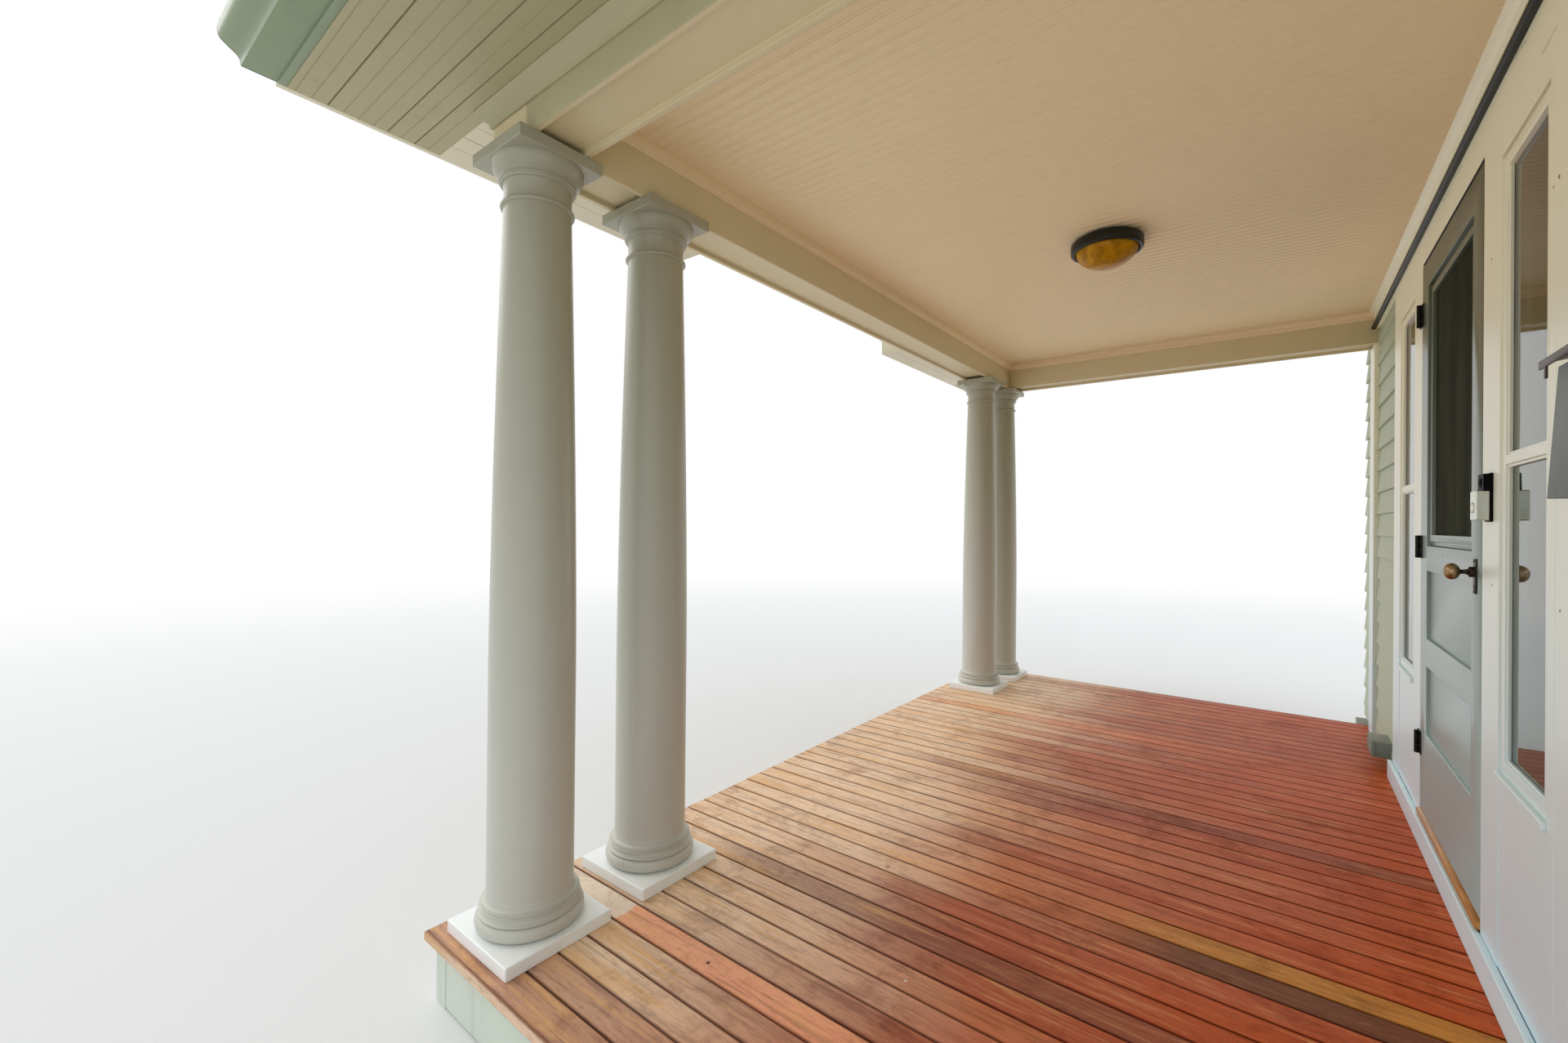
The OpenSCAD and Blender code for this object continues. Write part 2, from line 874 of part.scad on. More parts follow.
module door_leaf() {
    color([0.55, 0.6, 0.57]) difference() {
        block([-leaf_half, 0, leaf_bottom], [leaf_half, leaf_thick, leaf_top]);
        block([-leaf_open_x, -eps, screen_z0], [leaf_open_x, leaf_thick + eps, screen_z1]);
        at_panels(-eps, leaf_thick + eps);
    }
}

module door_panels() {
    color([0.55, 0.6, 0.57]) at_panels(panel_y, panel_y + door_panel_thick);
}

// square frame inside the screened opening, from inset a to inset b
module screen_ring(a, b, y0, y1) {
    difference() {
        block([-leaf_open_x + a, y0, screen_z0 + a], [leaf_open_x - a, y1, screen_z1 - a]);
        block([-leaf_open_x + b, y0 - eps, screen_z0 + b], [leaf_open_x - b, y1 + eps, screen_z1 - b]);
    }
}

// thin flange round a thicker inner frame
module screen_frame() {
    y1 = insert_y + insert_depth;
    color([0.5, 0.54, 0.5]) union() {
        screen_ring(0, insert_width, insert_y + 8, y1 - 4);
        screen_ring(insert_flange, insert_width, insert_y, y1);
    }
}

module screen_mesh() {
    y = insert_y + insert_depth / 2;
    color([0.2, 0.2, 0.19])
        block([-leaf_open_x + insert_width, y, screen_z0 + insert_width],
              [leaf_open_x - insert_width, y + mesh_thick, screen_z1 - insert_width]);
}

// Hinges

module at_hinges() {
    for (z = hinge_zs) translate([hinge_x, hinge_y, z - hinge_length / 2]) children();
}

// the knuckles in ks, bored for the pin where the leaf turns on it
module hinge_knuckles(ks, bored) {
    h = knuckle_height - knuckle_gap;
    for (k = ks) translate([0, 0, k * knuckle_height + knuckle_gap / 2]) difference() {
        cylinder(d = barrel_d, h = h);
        if (bored) translate([0, 0, -eps]) cylinder(d = pin_d + 2 * fit_gap, h = h + 2 * eps);
    }
}

// webs that tie the knuckles in ks to their plate, starting at x
module hinge_webs(ks, x, width) {
    y = -hinge_y - leaf_plate_thick - 4;
    for (k = ks) translate([x, y, k * knuckle_height + knuckle_gap / 2])
        cube([width, leaf_plate_thick + 4, knuckle_height - knuckle_gap]);
}

module hinge_jamb_plates() {
    color([0.05, 0.05, 0.05]) at_hinges() union() {
        hinge_knuckles([0, 2, 4], false);
        translate([0, 0, knuckle_gap]) cylinder(d = pin_d, h = hinge_length - 2 * knuckle_gap);
        translate([-leaf_plate_width, -hinge_y - leaf_plate_thick, 0])
            cube([leaf_plate_width - web_width, leaf_plate_thick, hinge_length]);
        hinge_webs([0, 2, 4], -leaf_gap - web_width - 4, web_width + 4);
    }
}

module hinge_leaf_plates() {
    color([0.05, 0.05, 0.05]) at_hinges() union() {
        hinge_knuckles([1, 3], true);
        translate([leaf_gap, -hinge_y - leaf_plate_thick, 0])
            cube([leaf_plate_width - leaf_gap, leaf_plate_thick, hinge_length]);
        hinge_webs([1, 3], leaf_gap, web_width);
    }
}

// Fittings

module handle_plate() {
    t = handle_plate_thick;
    color([0.14, 0.12, 0.1]) {
        block([knob_x - 13, -t, knob_z - 62], [knob_x + 13, 0, knob_z + 38]);
        translate([knob_x, -t, knob_z]) rotate([90, 0, 0]) cylinder(d = 30, h = rosette_thick);
    }
}

// ball on a turned stem
module ball_knob() {
    color([0.5, 0.36, 0.2]) translate([knob_x, -handle_plate_thick - rosette_thick, knob_z])
        rotate([90, 0, 0]) rotate_extrude() {
            square([9, 4]);
            square([6, knob_stem - 10]);
            intersection() {
                translate([0, knob_stem]) circle(d = knob_d);
                translate([0, knob_stem - knob_d]) square([knob_d, 2 * knob_d]);
            }
        }
}

// back plate with the darker upper half standing out from it
module doorbell_back() {
    upper = 54;
    color([0.06, 0.06, 0.07]) union() {
        block([bell_x, -bell_plate, bell_z], [bell_x + bell_width, 0, bell_z + bell_height]);
        translate([bell_x + 1, -bell_plate - 13, bell_z + bell_height - upper])
            cube([bell_width - 2, 13 + eps, upper - 6]);
    }
}

module doorbell_cover() {
    color([0.7, 0.7, 0.68]) translate([bell_x + 1, -bell_plate - 26, bell_z + 6])
        cube([bell_width - 2, 26, bell_height - 60]);
}

// tapered box with an open top and a raised back that carries the lid's bar
module mailbox_body() {
    y = siding_face;
    w = mail_wall;
    back_rise = 14;
    color([0.3, 0.34, 0.31]) union() {
        difference() {
            along_x(mail_x, mail_x + mail_width) polygon([[y, mail_z], [y - mail_depth, mail_z],
                [y - mail_top_depth, mail_top - mail_slope], [y, mail_top]]);
            along_x(mail_x + w, mail_x + mail_width - w) polygon([[y - w, mail_z + w],
                [y - mail_depth + w, mail_z + w], [y - mail_top_depth + w, mail_top + 10],
                [y - w, mail_top + 10]]);
        }
        block([mail_x, y - w, mail_top - eps], [mail_x + mail_width, y, mail_top + back_rise]);
        for (x = [mail_x, mail_x + mail_width - 8])
            block([x, lid_y - 4, mail_top - 2], [x + 8, y - w + eps, mail_top + back_rise]);
        translate([mail_x + 4, lid_y, lid_z]) rotate([0, 90, 0])
            cylinder(d = lid_bar_d, h = mail_width - 8);
    }
}

// sloping lid with a front lip, a tab and a barrel on the bar
module mailbox_lid() {
    x0 = mail_x - lid_over;
    x1 = mail_x + mail_width + lid_over;
    y0 = siding_face - mail_top_depth - lid_gap - 12;
    z0 = mail_top - mail_slope + lid_gap + 4;
    inside = 12;
    color([0.2, 0.22, 0.21]) difference() {
        union() {
            along_x(x0, x1) polygon([[lid_y - 8, lid_z + 1], [y0, z0], [y0, z0 - lid_lip],
                [y0 - 3, z0 - lid_lip], [y0 - 3, z0 + lid_thick], [lid_y - 8, lid_z + 1 + lid_thick]]);
            block([x0 + 28, y0 - 3, z0 - 30], [x0 + 36, y0, z0]);
            translate([mail_x + inside, lid_y, lid_z]) rotate([0, 90, 0])
                cylinder(d = lid_barrel_d, h = mail_width - 2 * inside);
            block([mail_x + inside, lid_y - 12, lid_z + 1],
                  [mail_x + mail_width - inside, lid_y, lid_z + 1 + lid_thick]);
        }
        translate([mail_x, lid_y, lid_z]) rotate([0, 90, 0])
            cylinder(d = lid_bar_d + 2 * fit_gap, h = mail_width);
    }
}

// low box on the siding whose cover is parted from its body by a groove
module wall_box() {
    y = siding_face - box_depth;
    color([0.55, 0.6, 0.57]) difference() {
        block([box_x - box_width, y - box_cover, box_z], [box_x, siding_face, box_z + box_height]);
        difference() {
            block([box_x - box_width - eps, y, box_z - eps],
                  [box_x + eps, y + box_seam, box_z + box_height + eps]);
            block([box_x - box_width + box_seam, y - eps, box_z + box_seam],
                  [box_x - box_seam, siding_face, box_z + box_height - box_seam]);
        }
    }
}

module light_ring() {
    rim = 8;
    color([0.1, 0.09, 0.08]) translate([0, light_y, ceiling_z]) mirror([0, 0, 1])
        rotate_extrude() difference() {
            polygon([[0, 0], [ring_r - rim - 10, 0], [ring_r, 22], [ring_r, 40],
                     [ring_r - rim, ring_height_z], [0, ring_height_z]]);
            translate([0, dome_top]) square([ring_r - ring_lip, dome_top]);
        }
}

// shallow bowl cut from a ball
module light_dome() {
    r = ring_r - ring_lip;
    ball_r = (r * r + dome_drop * dome_drop) / (2 * dome_drop);
    color([0.75, 0.5, 0.25]) translate([0, light_y, ceiling_z - dome_top]) mirror([0, 0, 1])
        rotate_extrude() intersection() {
            translate([0, dome_drop - ball_r]) circle(r = ball_r);
            square([r, dome_drop]);
        }
}

deck_boards();
deck_frame();
skirt_front();
skirt_sides();
foundation();
column_plinths();
column_bases();
column_shafts();
column_capitals();
front_beam();
side_beams();
bed_mouldings();
crown_moulding();
ceiling();
soffit_front();
soffit_sides();
side_fascias();
front_cornice();
pediment_apron();
pediment_panel();
rake_boards();
roof_near();
roof_far();
ridge_cap();
gutters();
side_walls();
wall_posts();
wall_at_sidelights();
wall_over_door();
wall_gable();
siding();
pilasters();
casing_boards();
sidelight_panels();
head_casing();
wall_rail();
base_board();
door_sill();
door_frame();
inner_door();
sidelight_sashes();
sidelight_glass();
sidelight_sills();
roller_shades();
door_leaf();
door_panels();
screen_frame();
screen_mesh();
hinge_jamb_plates();
hinge_leaf_plates();
handle_plate();
ball_knob();
doorbell_back();
doorbell_cover();
mailbox_body();
mailbox_lid();
wall_box();
light_ring();
light_dome();
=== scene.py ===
import json
import math

import bmesh
import bpy
from mathutils import Matrix, Vector


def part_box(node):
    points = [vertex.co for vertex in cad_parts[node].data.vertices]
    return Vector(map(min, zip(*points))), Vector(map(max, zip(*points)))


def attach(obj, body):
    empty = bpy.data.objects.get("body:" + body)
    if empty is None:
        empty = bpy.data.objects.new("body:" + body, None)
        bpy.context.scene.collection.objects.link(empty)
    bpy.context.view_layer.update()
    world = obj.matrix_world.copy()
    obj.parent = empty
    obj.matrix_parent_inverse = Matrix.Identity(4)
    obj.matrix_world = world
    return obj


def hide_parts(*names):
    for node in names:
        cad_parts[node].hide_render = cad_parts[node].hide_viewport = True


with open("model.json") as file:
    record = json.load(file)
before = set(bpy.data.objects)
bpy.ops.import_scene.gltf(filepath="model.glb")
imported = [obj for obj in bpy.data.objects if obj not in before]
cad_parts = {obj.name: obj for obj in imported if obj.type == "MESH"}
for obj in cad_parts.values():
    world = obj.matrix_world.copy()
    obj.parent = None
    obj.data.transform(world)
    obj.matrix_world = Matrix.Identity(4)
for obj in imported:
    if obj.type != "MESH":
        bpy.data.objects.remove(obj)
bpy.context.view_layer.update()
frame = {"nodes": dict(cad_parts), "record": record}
nodes = frame["nodes"]
scene = bpy.context.scene
deckTop = 0.200
print("frame loaded:", len(nodes), "nodes")


# node trees: a Value is a node's output, and reckoning with it adds the math nodes

class Value:
    def __init__(self, socket):
        self.socket = socket

    def __add__(self, other):
        return calc("ADD", self, other)

    def __sub__(self, other):
        return calc("SUBTRACT", self, other)

    def __rsub__(self, other):
        return calc("SUBTRACT", other, self)

    def __mul__(self, other):
        return calc("MULTIPLY", self, other)

    def __truediv__(self, other):
        return calc("DIVIDE", self, other)


def fill(node, inputs):
    # a Value is linked, anything else is set as it is
    for key, given in inputs.items():
        if isinstance(given, Value):
            given.socket.id_data.links.new(given.socket, node.inputs[key])
        else:
            node.inputs[key].default_value = given


def addNode(kind, inputs=None, out=0, tree=None, **settings):
    # without a tree it joins the one that its inputs come from
    inputs = inputs or {}
    tree = tree or next(given.socket.id_data for given in inputs.values()
                        if isinstance(given, Value))
    made = tree.nodes.new(kind)
    for name, setting in settings.items():
        setattr(made, name, setting)
    fill(made, inputs)
    return Value(made.outputs[out])


def outputs(value):
    return [Value(socket) for socket in value.socket.node.outputs]


def calc(operation, *values, clamp=False):
    return addNode("ShaderNodeMath", dict(enumerate(values)), operation=operation,
                   use_clamp=clamp)


def mix(amount, a, b, kind="MIX"):
    return addNode("ShaderNodeMix", {0: amount, 6: a, 7: b}, 2, data_type="RGBA", blend_type=kind)


def soften(value, low, high):
    # 0 below low, 1 above high, smooth between them
    return addNode("ShaderNodeMapRange", {0: value, 1: low, 2: high, 3: 0.0, 4: 1.0},
                   interpolation_type="SMOOTHSTEP")


def noise(place, scale, detail=3.0, roughness=0.5, distortion=0.0):
    return addNode("ShaderNodeTexNoise", {"Vector": place, "Scale": scale, "Detail": detail,
                                          "Roughness": roughness, "Distortion": distortion})


def stretch(place, scale):
    return addNode("ShaderNodeMapping", {"Vector": place, "Scale": scale})


def split(vector):
    return outputs(addNode("ShaderNodeSeparateXYZ", {0: vector}))


def combine(x, y, z=0.0):
    return addNode("ShaderNodeCombineXYZ", {0: x, 1: y, 2: z})


def bumps(height, distance, strength=1.0):
    return addNode("ShaderNodeBump", {"Height": height, "Distance": distance,
                                      "Strength": strength})


def tint(red, green, blue):
    # a colour, 0 to 255, as the linear value that the shader wants
    def linear(value):
        value /= 255
        return value / 12.92 if value <= 0.04045 else ((value + 0.055) / 1.055) ** 2.4
    return (linear(red), linear(green), linear(blue), 1.0)


def newGroup(name, kind, takes, gives):
    # a node group, its inputs as Values by name, and its end; both lists hold name and kind
    tree = bpy.data.node_groups.new(name, kind)
    for label, socketKind, *usual in takes:
        socket = tree.interface.new_socket(label, in_out="INPUT",
                                           socket_type="NodeSocket" + socketKind)
        if usual:
            socket.default_value = usual[0]
    for label, socketKind in gives:
        tree.interface.new_socket(label, in_out="OUTPUT", socket_type="NodeSocket" + socketKind)
    start, end = tree.nodes.new("NodeGroupInput"), tree.nodes.new("NodeGroupOutput")
    return tree, {socket.name: Value(socket) for socket in start.outputs}, end


# shader groups that several materials share

def paintedSurfaceGroup():
    tree, given, end = newGroup("paintedSurface", "ShaderNodeTree", [
        ("Place", "Vector", (0, 0, 0)), ("Paint", "Color", (0.8, 0.8, 0.8, 1)),
        ("Stain", "Color", (0.4, 0.35, 0.3, 1)), ("Stain Amount", "Float", 0.2),
        ("Mottle", "Float", 0.05), ("Speckle", "Float", 0.2), ("Dust", "Float", 0.0)],
        [("Color", "Color"), ("Height", "Float"), ("Gloss", "Float")])
    place, mottle = given["Place"], given["Mottle"]
    fine = noise(place, 38.0, 4.0, 0.65)
    tone = (noise(place, 1.7, 3.0, 0.6) - 0.5) * mottle + (fine - 0.5) * (mottle * 0.6) + 1.0
    toned = addNode("ShaderNodeVectorMath", {0: given["Paint"], "Scale": tone}, operation="SCALE")
    runs = noise(stretch(place, (9, 9, 1.6)), 1.0, 5.0, 0.7, 0.4)
    streaks = soften(runs, 0.52, 0.78) * given["Stain Amount"]
    dots = addNode("ShaderNodeTexVoronoi", {"Vector": place, "Scale": 26.0, "Randomness": 1.0})
    chosen = soften(noise(place, 5.0, 2.0), 0.60, 0.66)
    specks = (1.0 - soften(dots, 0.05, 0.11)) * (chosen * given["Speckle"])
    marks = calc("MAXIMUM", streaks, specks, clamp=True)
    up = split(addNode("ShaderNodeNewGeometry", out="Normal", tree=tree))[2]
    settled = soften(up, 0.55, 0.95) * given["Dust"] * soften(fine, 0.2, 0.7)
    brush = noise(stretch(place, (60, 60, 9)), 1.0, 3.0, 0.6)
    fill(end, {"Color": mix(settled, mix(marks, toned, given["Stain"]), tint(176, 168, 152)),
               "Height": fine * 0.5 + brush * 0.5,
               "Gloss": (marks + settled) * 0.25 + fine * 0.08})
    return tree


def timberGrainGroup():
    # the grain runs along Y, and Shift gives each board its own piece of it
    tree, given, end = newGroup("timberGrain", "ShaderNodeTree", [
        ("Place", "Vector", (0, 0, 0)), ("Shift", "Float", 0.0), ("Across", "Float", 60.0),
        ("Along", "Float", 2.4)], [("Grain", "Float"), ("Pores", "Float")])
    x, y, z = split(given["Place"])
    across = given["Across"]
    place = combine(x * across, y * given["Along"] + given["Shift"], z * across)
    fill(end, {"Grain": noise(place, 1.0, 5.0, 0.62, 0.9),
               "Pores": noise(stretch(place, (7, 9, 7)), 1.0, 2.0, 0.6)})
    return tree


paintedSurface = paintedSurfaceGroup()
timberGrain = timberGrainGroup()


def newMaterial(name, color, roughness=0.5, metallic=0.0):
    # gives the material, its surface shader and the place on the object
    material = bpy.data.materials.new(name)
    material.use_nodes = True
    material.diffuse_color = color
    surface = material.node_tree.nodes["Principled BSDF"]
    fill(surface, {"Base Color": color, "Roughness": roughness, "Metallic": metallic})
    return material, surface, addNode("ShaderNodeTexCoord", out="Object",
                                      tree=material.node_tree)


# paints: colour, gloss, and how much each one is stained, mottled, speckled and dusty, where
# that isn't as usual; low is a lighter colour near the deck, painted light, and the colour
# higher up is painted shade under the porch roof
usualPaint = dict(rough=0.42, stain=0.10, mottle=0.10, speckle=0.20, dust=0.0, bump=0.0005,
                  shine=0.5)
paints = {
    # the column white is darkened and greyed as painted shade, and lighter towards the deck as
    # painted light; the plinths' white is a lighter, lit copy of it: painted light
    "columnPaint": dict(color=tint(168, 166, 144), low=tint(200, 199, 188), rough=0.28,
                        mottle=0.05, speckle=0.25, dust=0.10, bump=0.0006),
    "plinthPaint": dict(color=tint(250, 253, 251), rough=0.36, stain=0.08, mottle=0.05,
                        speckle=0.30, dust=0.02, bump=0.0006),
    "ceilingPaint": dict(color=tint(248, 226, 186), rough=0.5, stain=0.05, mottle=0.06,
                         speckle=0.12),
    "beamPaint": dict(color=tint(220, 204, 164), stain=0.08, mottle=0.07, speckle=0.15, dust=0.10),
    # trim and soffit paint are copies of one cream paint: the trim copy is lighter, painted light,
    # and the soffit copy darker and olive, painted shade with a green cast
    "trimPaint": dict(color=tint(224, 215, 188), stain=0.12, mottle=0.07, dust=0.20),
    "soffitPaint": dict(color=tint(178, 171, 134), rough=0.5, stain=0.16),
    # the white boards are creamy up high and bluer near the deck: painted shade up high and painted
    # cool daylight near the deck
    "whitePaint": dict(color=tint(252, 250, 222), low=tint(226, 247, 254), rough=0.33,
                       stain=0.05, mottle=0.04, speckle=0.10, dust=0.10, bump=0.0004),
    "sagePaint": dict(color=tint(134, 148, 116), stain=0.16, speckle=0.25, dust=0.15),
    "gutterPaint": dict(color=tint(134, 149, 114), rough=0.28, stain=0.22, mottle=0.12,
                        speckle=0.40, dust=0.20, bump=0.0003),
    "sidingPaint": dict(color=tint(184, 194, 164), rough=0.5, mottle=0.08, speckle=0.15,
                        dust=0.20, bump=0.0006),
    "skirtPaint": dict(color=tint(214, 222, 208), rough=0.45, stain=0.20, mottle=0.08,
                       speckle=0.60, dust=0.25, bump=0.0006),
    # the door colour is dark up high, painted shade under the roof, and light near the deck, painted
    # daylight
    "doorPaint": dict(color=tint(98, 106, 86), low=tint(176, 198, 198), rough=0.26, shine=0.3,
                      stain=0.05, mottle=0.05, speckle=0.08, dust=0.12, bump=0.0004),
    "boxPaint": dict(color=tint(124, 138, 132), rough=0.45, stain=0.20, speckle=0.40, dust=0.85,
                     bump=0.0003),
    "mailboxPaint": dict(color=tint(90, 99, 92), rough=0.45, stain=0.12, mottle=0.16,
                         speckle=0.30, dust=0.20, bump=0.0003),
    "lidPaint": dict(color=tint(66, 55, 46), rough=0.40, stain=0.12, mottle=0.16, speckle=0.30,
                     dust=0.35, bump=0.0003),
    "railPaint": dict(color=tint(34, 36, 29), rough=0.34, shine=0.2, mottle=0.20, bump=0.0002),
    "stripPaint": dict(color=tint(74, 74, 62), rough=0.70, mottle=0.20, speckle=0.0,
                       bump=0.0002),
    "innerDoorPaint": dict(color=tint(52, 54, 52), rough=0.5, mottle=0.20, speckle=0.0,
                           bump=0.0004),
    "hingePaint": dict(color=tint(18, 17, 17), rough=0.50, shine=0.2, mottle=0.30, speckle=0.10,
                       bump=0.0003),
    "bronzePaint": dict(color=tint(34, 35, 29), rough=0.36, shine=0.3, mottle=0.35, bump=0.0004),
    "plasterPaint": dict(color=tint(216, 212, 202), rough=0.8, stain=0.06, mottle=0.06,
                         speckle=0.0, bump=0.0008),
}
paintedShadeHeights = (0.2, 2.3)


def paintMaterial(name):
    look = {**usualPaint, **paints[name]}
    color = look["color"]
    material, surface, place = newMaterial(name, color, look["rough"])
    # painted light and shade: the lighter low colour near the deck, the darker colour higher up
    if "low" in look:
        color = mix(soften(split(place)[2], *paintedShadeHeights), look["low"], color)
    stain = [value * 0.35 for value in look["color"][:3]] + [1]
    color, height, gloss = outputs(addNode("ShaderNodeGroup", {
        "Place": place, "Paint": color, "Stain": stain, "Stain Amount": look["stain"],
        "Mottle": look["mottle"], "Speckle": look["speckle"], "Dust": look["dust"]},
        node_tree=paintedSurface))
    fill(surface, {"Base Color": color, "Specular IOR Level": look["shine"],
                   "Roughness": calc("ADD", gloss, look["rough"], clamp=True),
                   "Normal": bumps(height, look["bump"])})
    return material


# oiled hardwood of the deck: the boards' hues, where they are worn, and a painted light towards
# the front; board numbers run from the far end, and distances are from the house wall
deckLook = {
    "pitch": 0.09396, "firstJoint": -2.114, "seed": 4.0,
    "hues": (tint(194, 112, 80), tint(172, 95, 70), tint(208, 126, 82), tint(182, 110, 84),
             tint(200, 104, 66)),
    "brown": tint(100, 52, 34), "golden": tint(236, 184, 122), "doorSide": tint(204, 84, 14),
    # frontLight: a paler colour towards the open front, painted daylight and sky sheen
    "frontLight": tint(255, 226, 194), "pale": tint(240, 226, 206), "grime": tint(140, 96, 76),
    # boards that stand out: number, colour, strength, and where along the board
    "oddBoards": ((41, tint(252, 168, 128), 0.75, 0.6, 2.06),
                  (31, tint(210, 150, 62), 0.7, -0.5, 0.55),
                  (32, tint(84, 66, 46), 0.75, -0.5, 0.6), (36, tint(126, 86, 70), 0.5, -0.5, 1.9),
                  (22, tint(140, 76, 50), 0.5, -0.5, 1.7), (11, tint(226, 122, 70), 0.5, 0.6, 2.2),
                  (44, tint(180, 118, 94), 0.6, 0.8, 2.6), (45, tint(170, 110, 88), 0.7, 0.8, 2.6)),
    "paleEnd": (41, 2.035),
    # knots, drops of paint and a ring stain: x, y, radius, colour, strength
    "spots": ((1.789, -1.663, 0.007, tint(58, 28, 22), 0.9),
              (1.512, -1.211, 0.006, tint(226, 212, 200), 0.8),
              (1.053, -1.516, 0.012, tint(96, 52, 38), 0.4),
              (0.62, -0.94, 0.006, tint(60, 30, 22), 0.8),
              (-0.85, -1.38, 0.007, tint(60, 30, 22), 0.8)),
}


def deckMaterial():
    look = deckLook
    material, surface, place = newMaterial("oiledDeckWood", look["hues"][0], 0.4)
    x, y, _ = split(place)
    front = y * -1.0
    steps = (x - look["firstJoint"]) / look["pitch"]
    board = calc("FLOOR", steps)
    chance = addNode("ShaderNodeTexWhiteNoise", {"W": board + look["seed"]}, "Value",
                     noise_dimensions="1D")
    hues = addNode("ShaderNodeValToRGB", {0: chance})
    stops = hues.socket.node.color_ramp.elements
    while len(stops) < len(look["hues"]):
        stops.new(0.5)
    for i, hue in enumerate(look["hues"]):
        stops[i].position = i / (len(look["hues"]) - 1)
        stops[i].color = hue
    # more orange near the door; paler towards the front, a painted light of daylight and sky sheen
    near = (noise(place, 1.6, 3.0, 0.6) - 0.5) * 0.8 + (chance * 0.3 + front)
    color = mix((1.0 - soften(near, 0.3, 1.45)) * 0.9, hues, look["doorSide"])
    color = mix(soften(near, 1.15, 2.15) * 0.9, color, look["frontLight"])

    def only(number):
        return calc("COMPARE", board, float(number), 0.4)
    for number, hue, strength, start, end in look["oddBoards"]:
        reach = soften(front, start, start + 0.4) * (1.0 - soften(front, end, end + 0.4))
        color = mix(only(number) * reach * strength, color, hue)
    grain, pores = outputs(addNode("ShaderNodeGroup", {
        "Place": place, "Shift": board * 7.3, "Across": 52.0, "Along": 2.6},
        node_tree=timberGrain))
    color = mix(soften(grain, 0.46, 0.68) * 0.34, color, look["brown"])
    color = mix((1.0 - soften(grain, 0.30, 0.46)) * 0.30, color, look["golden"])
    color = mix(soften(pores, 0.50, 0.72) * 0.35, color, look["brown"])
    # dry wood in long patches and streaks that keep to a board
    shifted = combine(board * 3.7, y * 1.9, x * 14.0)
    patches = noise(shifted, 1.0, 5.0, 0.7, 0.4)
    wearing = noise(stretch(shifted, (1, 1.3, 7)), 1.0, 4.0, 0.6) * 0.45 + patches * 0.6
    reach = soften(front, 0.9, 2.2) * -0.10 + 0.60
    worn = addNode("ShaderNodeMapRange", {0: wearing, 1: reach, 2: reach + 0.12, 3: 0.0, 4: 0.65})
    color = mix(worn, color, look["golden"])
    # the short pale end between the two near plinths
    number, edge = look["paleEnd"]
    ending = only(number) * soften(patches * 0.05 + front, edge, edge + 0.015)
    color = mix(ending * 0.85, color, look["pale"])
    rim = calc("ABSOLUTE", calc("FRACT", steps) - 0.5) * 2.0
    blotch = soften(noise(place, 4.5, 6.0, 0.75, 0.5), 0.48, 0.68) * 0.38
    color = mix(calc("MAXIMUM", soften(rim, 0.80, 0.97) * 0.7, blotch), color, look["grime"],
                "MULTIPLY")
    for spotX, spotY, radius, hue, strength in look["spots"]:
        away = addNode("ShaderNodeVectorMath", {0: place, 1: (spotX, spotY, deckTop)}, "Value",
                       operation="DISTANCE")
        color = mix((1.0 - soften(away, radius * 0.5, radius)) * strength, color, hue)
    fill(surface, {"Base Color": color, "Specular IOR Level": 0.1,
                   "Roughness": pores * 0.35 + (worn * 0.2 + (blotch * 0.2 + 0.24)),
                   "Normal": bumps(grain * -0.7 + pores * 0.5, 0.0012)})
    return material


# plain timber: light and dark hue, gloss
timbers = {
    "sawnTimber": dict(light=tint(206, 178, 134), dark=tint(160, 124, 82), rough=0.7),
    "sillTimber": dict(light=tint(214, 156, 78), dark=tint(168, 104, 40), rough=0.3),
}


def timberMaterial(name):
    # the grain runs along X
    look = timbers[name]
    material, surface, place = newMaterial(name, look["light"], look["rough"])
    x, y, z = split(place)
    grain, pores = outputs(addNode("ShaderNodeGroup", {
        "Place": combine(y, x, z), "Across": 90.0, "Along": 3.0}, node_tree=timberGrain))
    fill(surface, {"Base Color": mix(soften(grain, 0.3, 0.7), look["light"], look["dark"]),
                   "Roughness": pores * 0.2 + (look["rough"] - 0.1),
                   "Normal": bumps(grain, 0.0006)})
    return material


roofLook = {"tab": 0.3164, "course": 0.1437, "light": tint(112, 112, 114), "dark": tint(62, 62, 66),
            "warm": tint(104, 96, 86), "grit": tint(150, 148, 144)}


def shingleMaterial():
    look = roofLook
    material, surface, place = newMaterial("roofShingle", look["dark"], 0.9)
    x, y, _ = split(place)
    cell = combine(calc("FLOOR", x / (look["course"] * 0.894)),
                   calc("FLOOR", y / (look["tab"] * 0.5)))
    chance = addNode("ShaderNodeTexWhiteNoise", {"Vector": cell}, "Value", noise_dimensions="3D")
    grit = noise(place, 420.0, 2.0, 0.7)
    color = mix(soften(noise(place, 3.0, 3.0), 0.5, 0.7) * 0.35,
                mix(chance, look["dark"], look["light"]), look["warm"])
    fill(surface, {"Base Color": mix(soften(grit, 0.35, 0.7) * 0.5, color, look["grit"]),
                   "Normal": bumps(grit, 0.0015)})
    return material


def masonryMaterial():
    material, surface, place = newMaterial("footMasonry", tint(158, 154, 145), 0.85)
    cloud = noise(place, 6.0, 6.0, 0.7)
    sand = noise(place, 190.0, 3.0, 0.7)
    color = mix(cloud, tint(128, 124, 115), tint(182, 178, 168))
    fill(surface, {"Base Color": mix(soften(sand, 0.5, 0.75) * 0.4, color, tint(96, 92, 84)),
                   "Normal": bumps(cloud * 2.0 + sand, 0.002)})
    return material


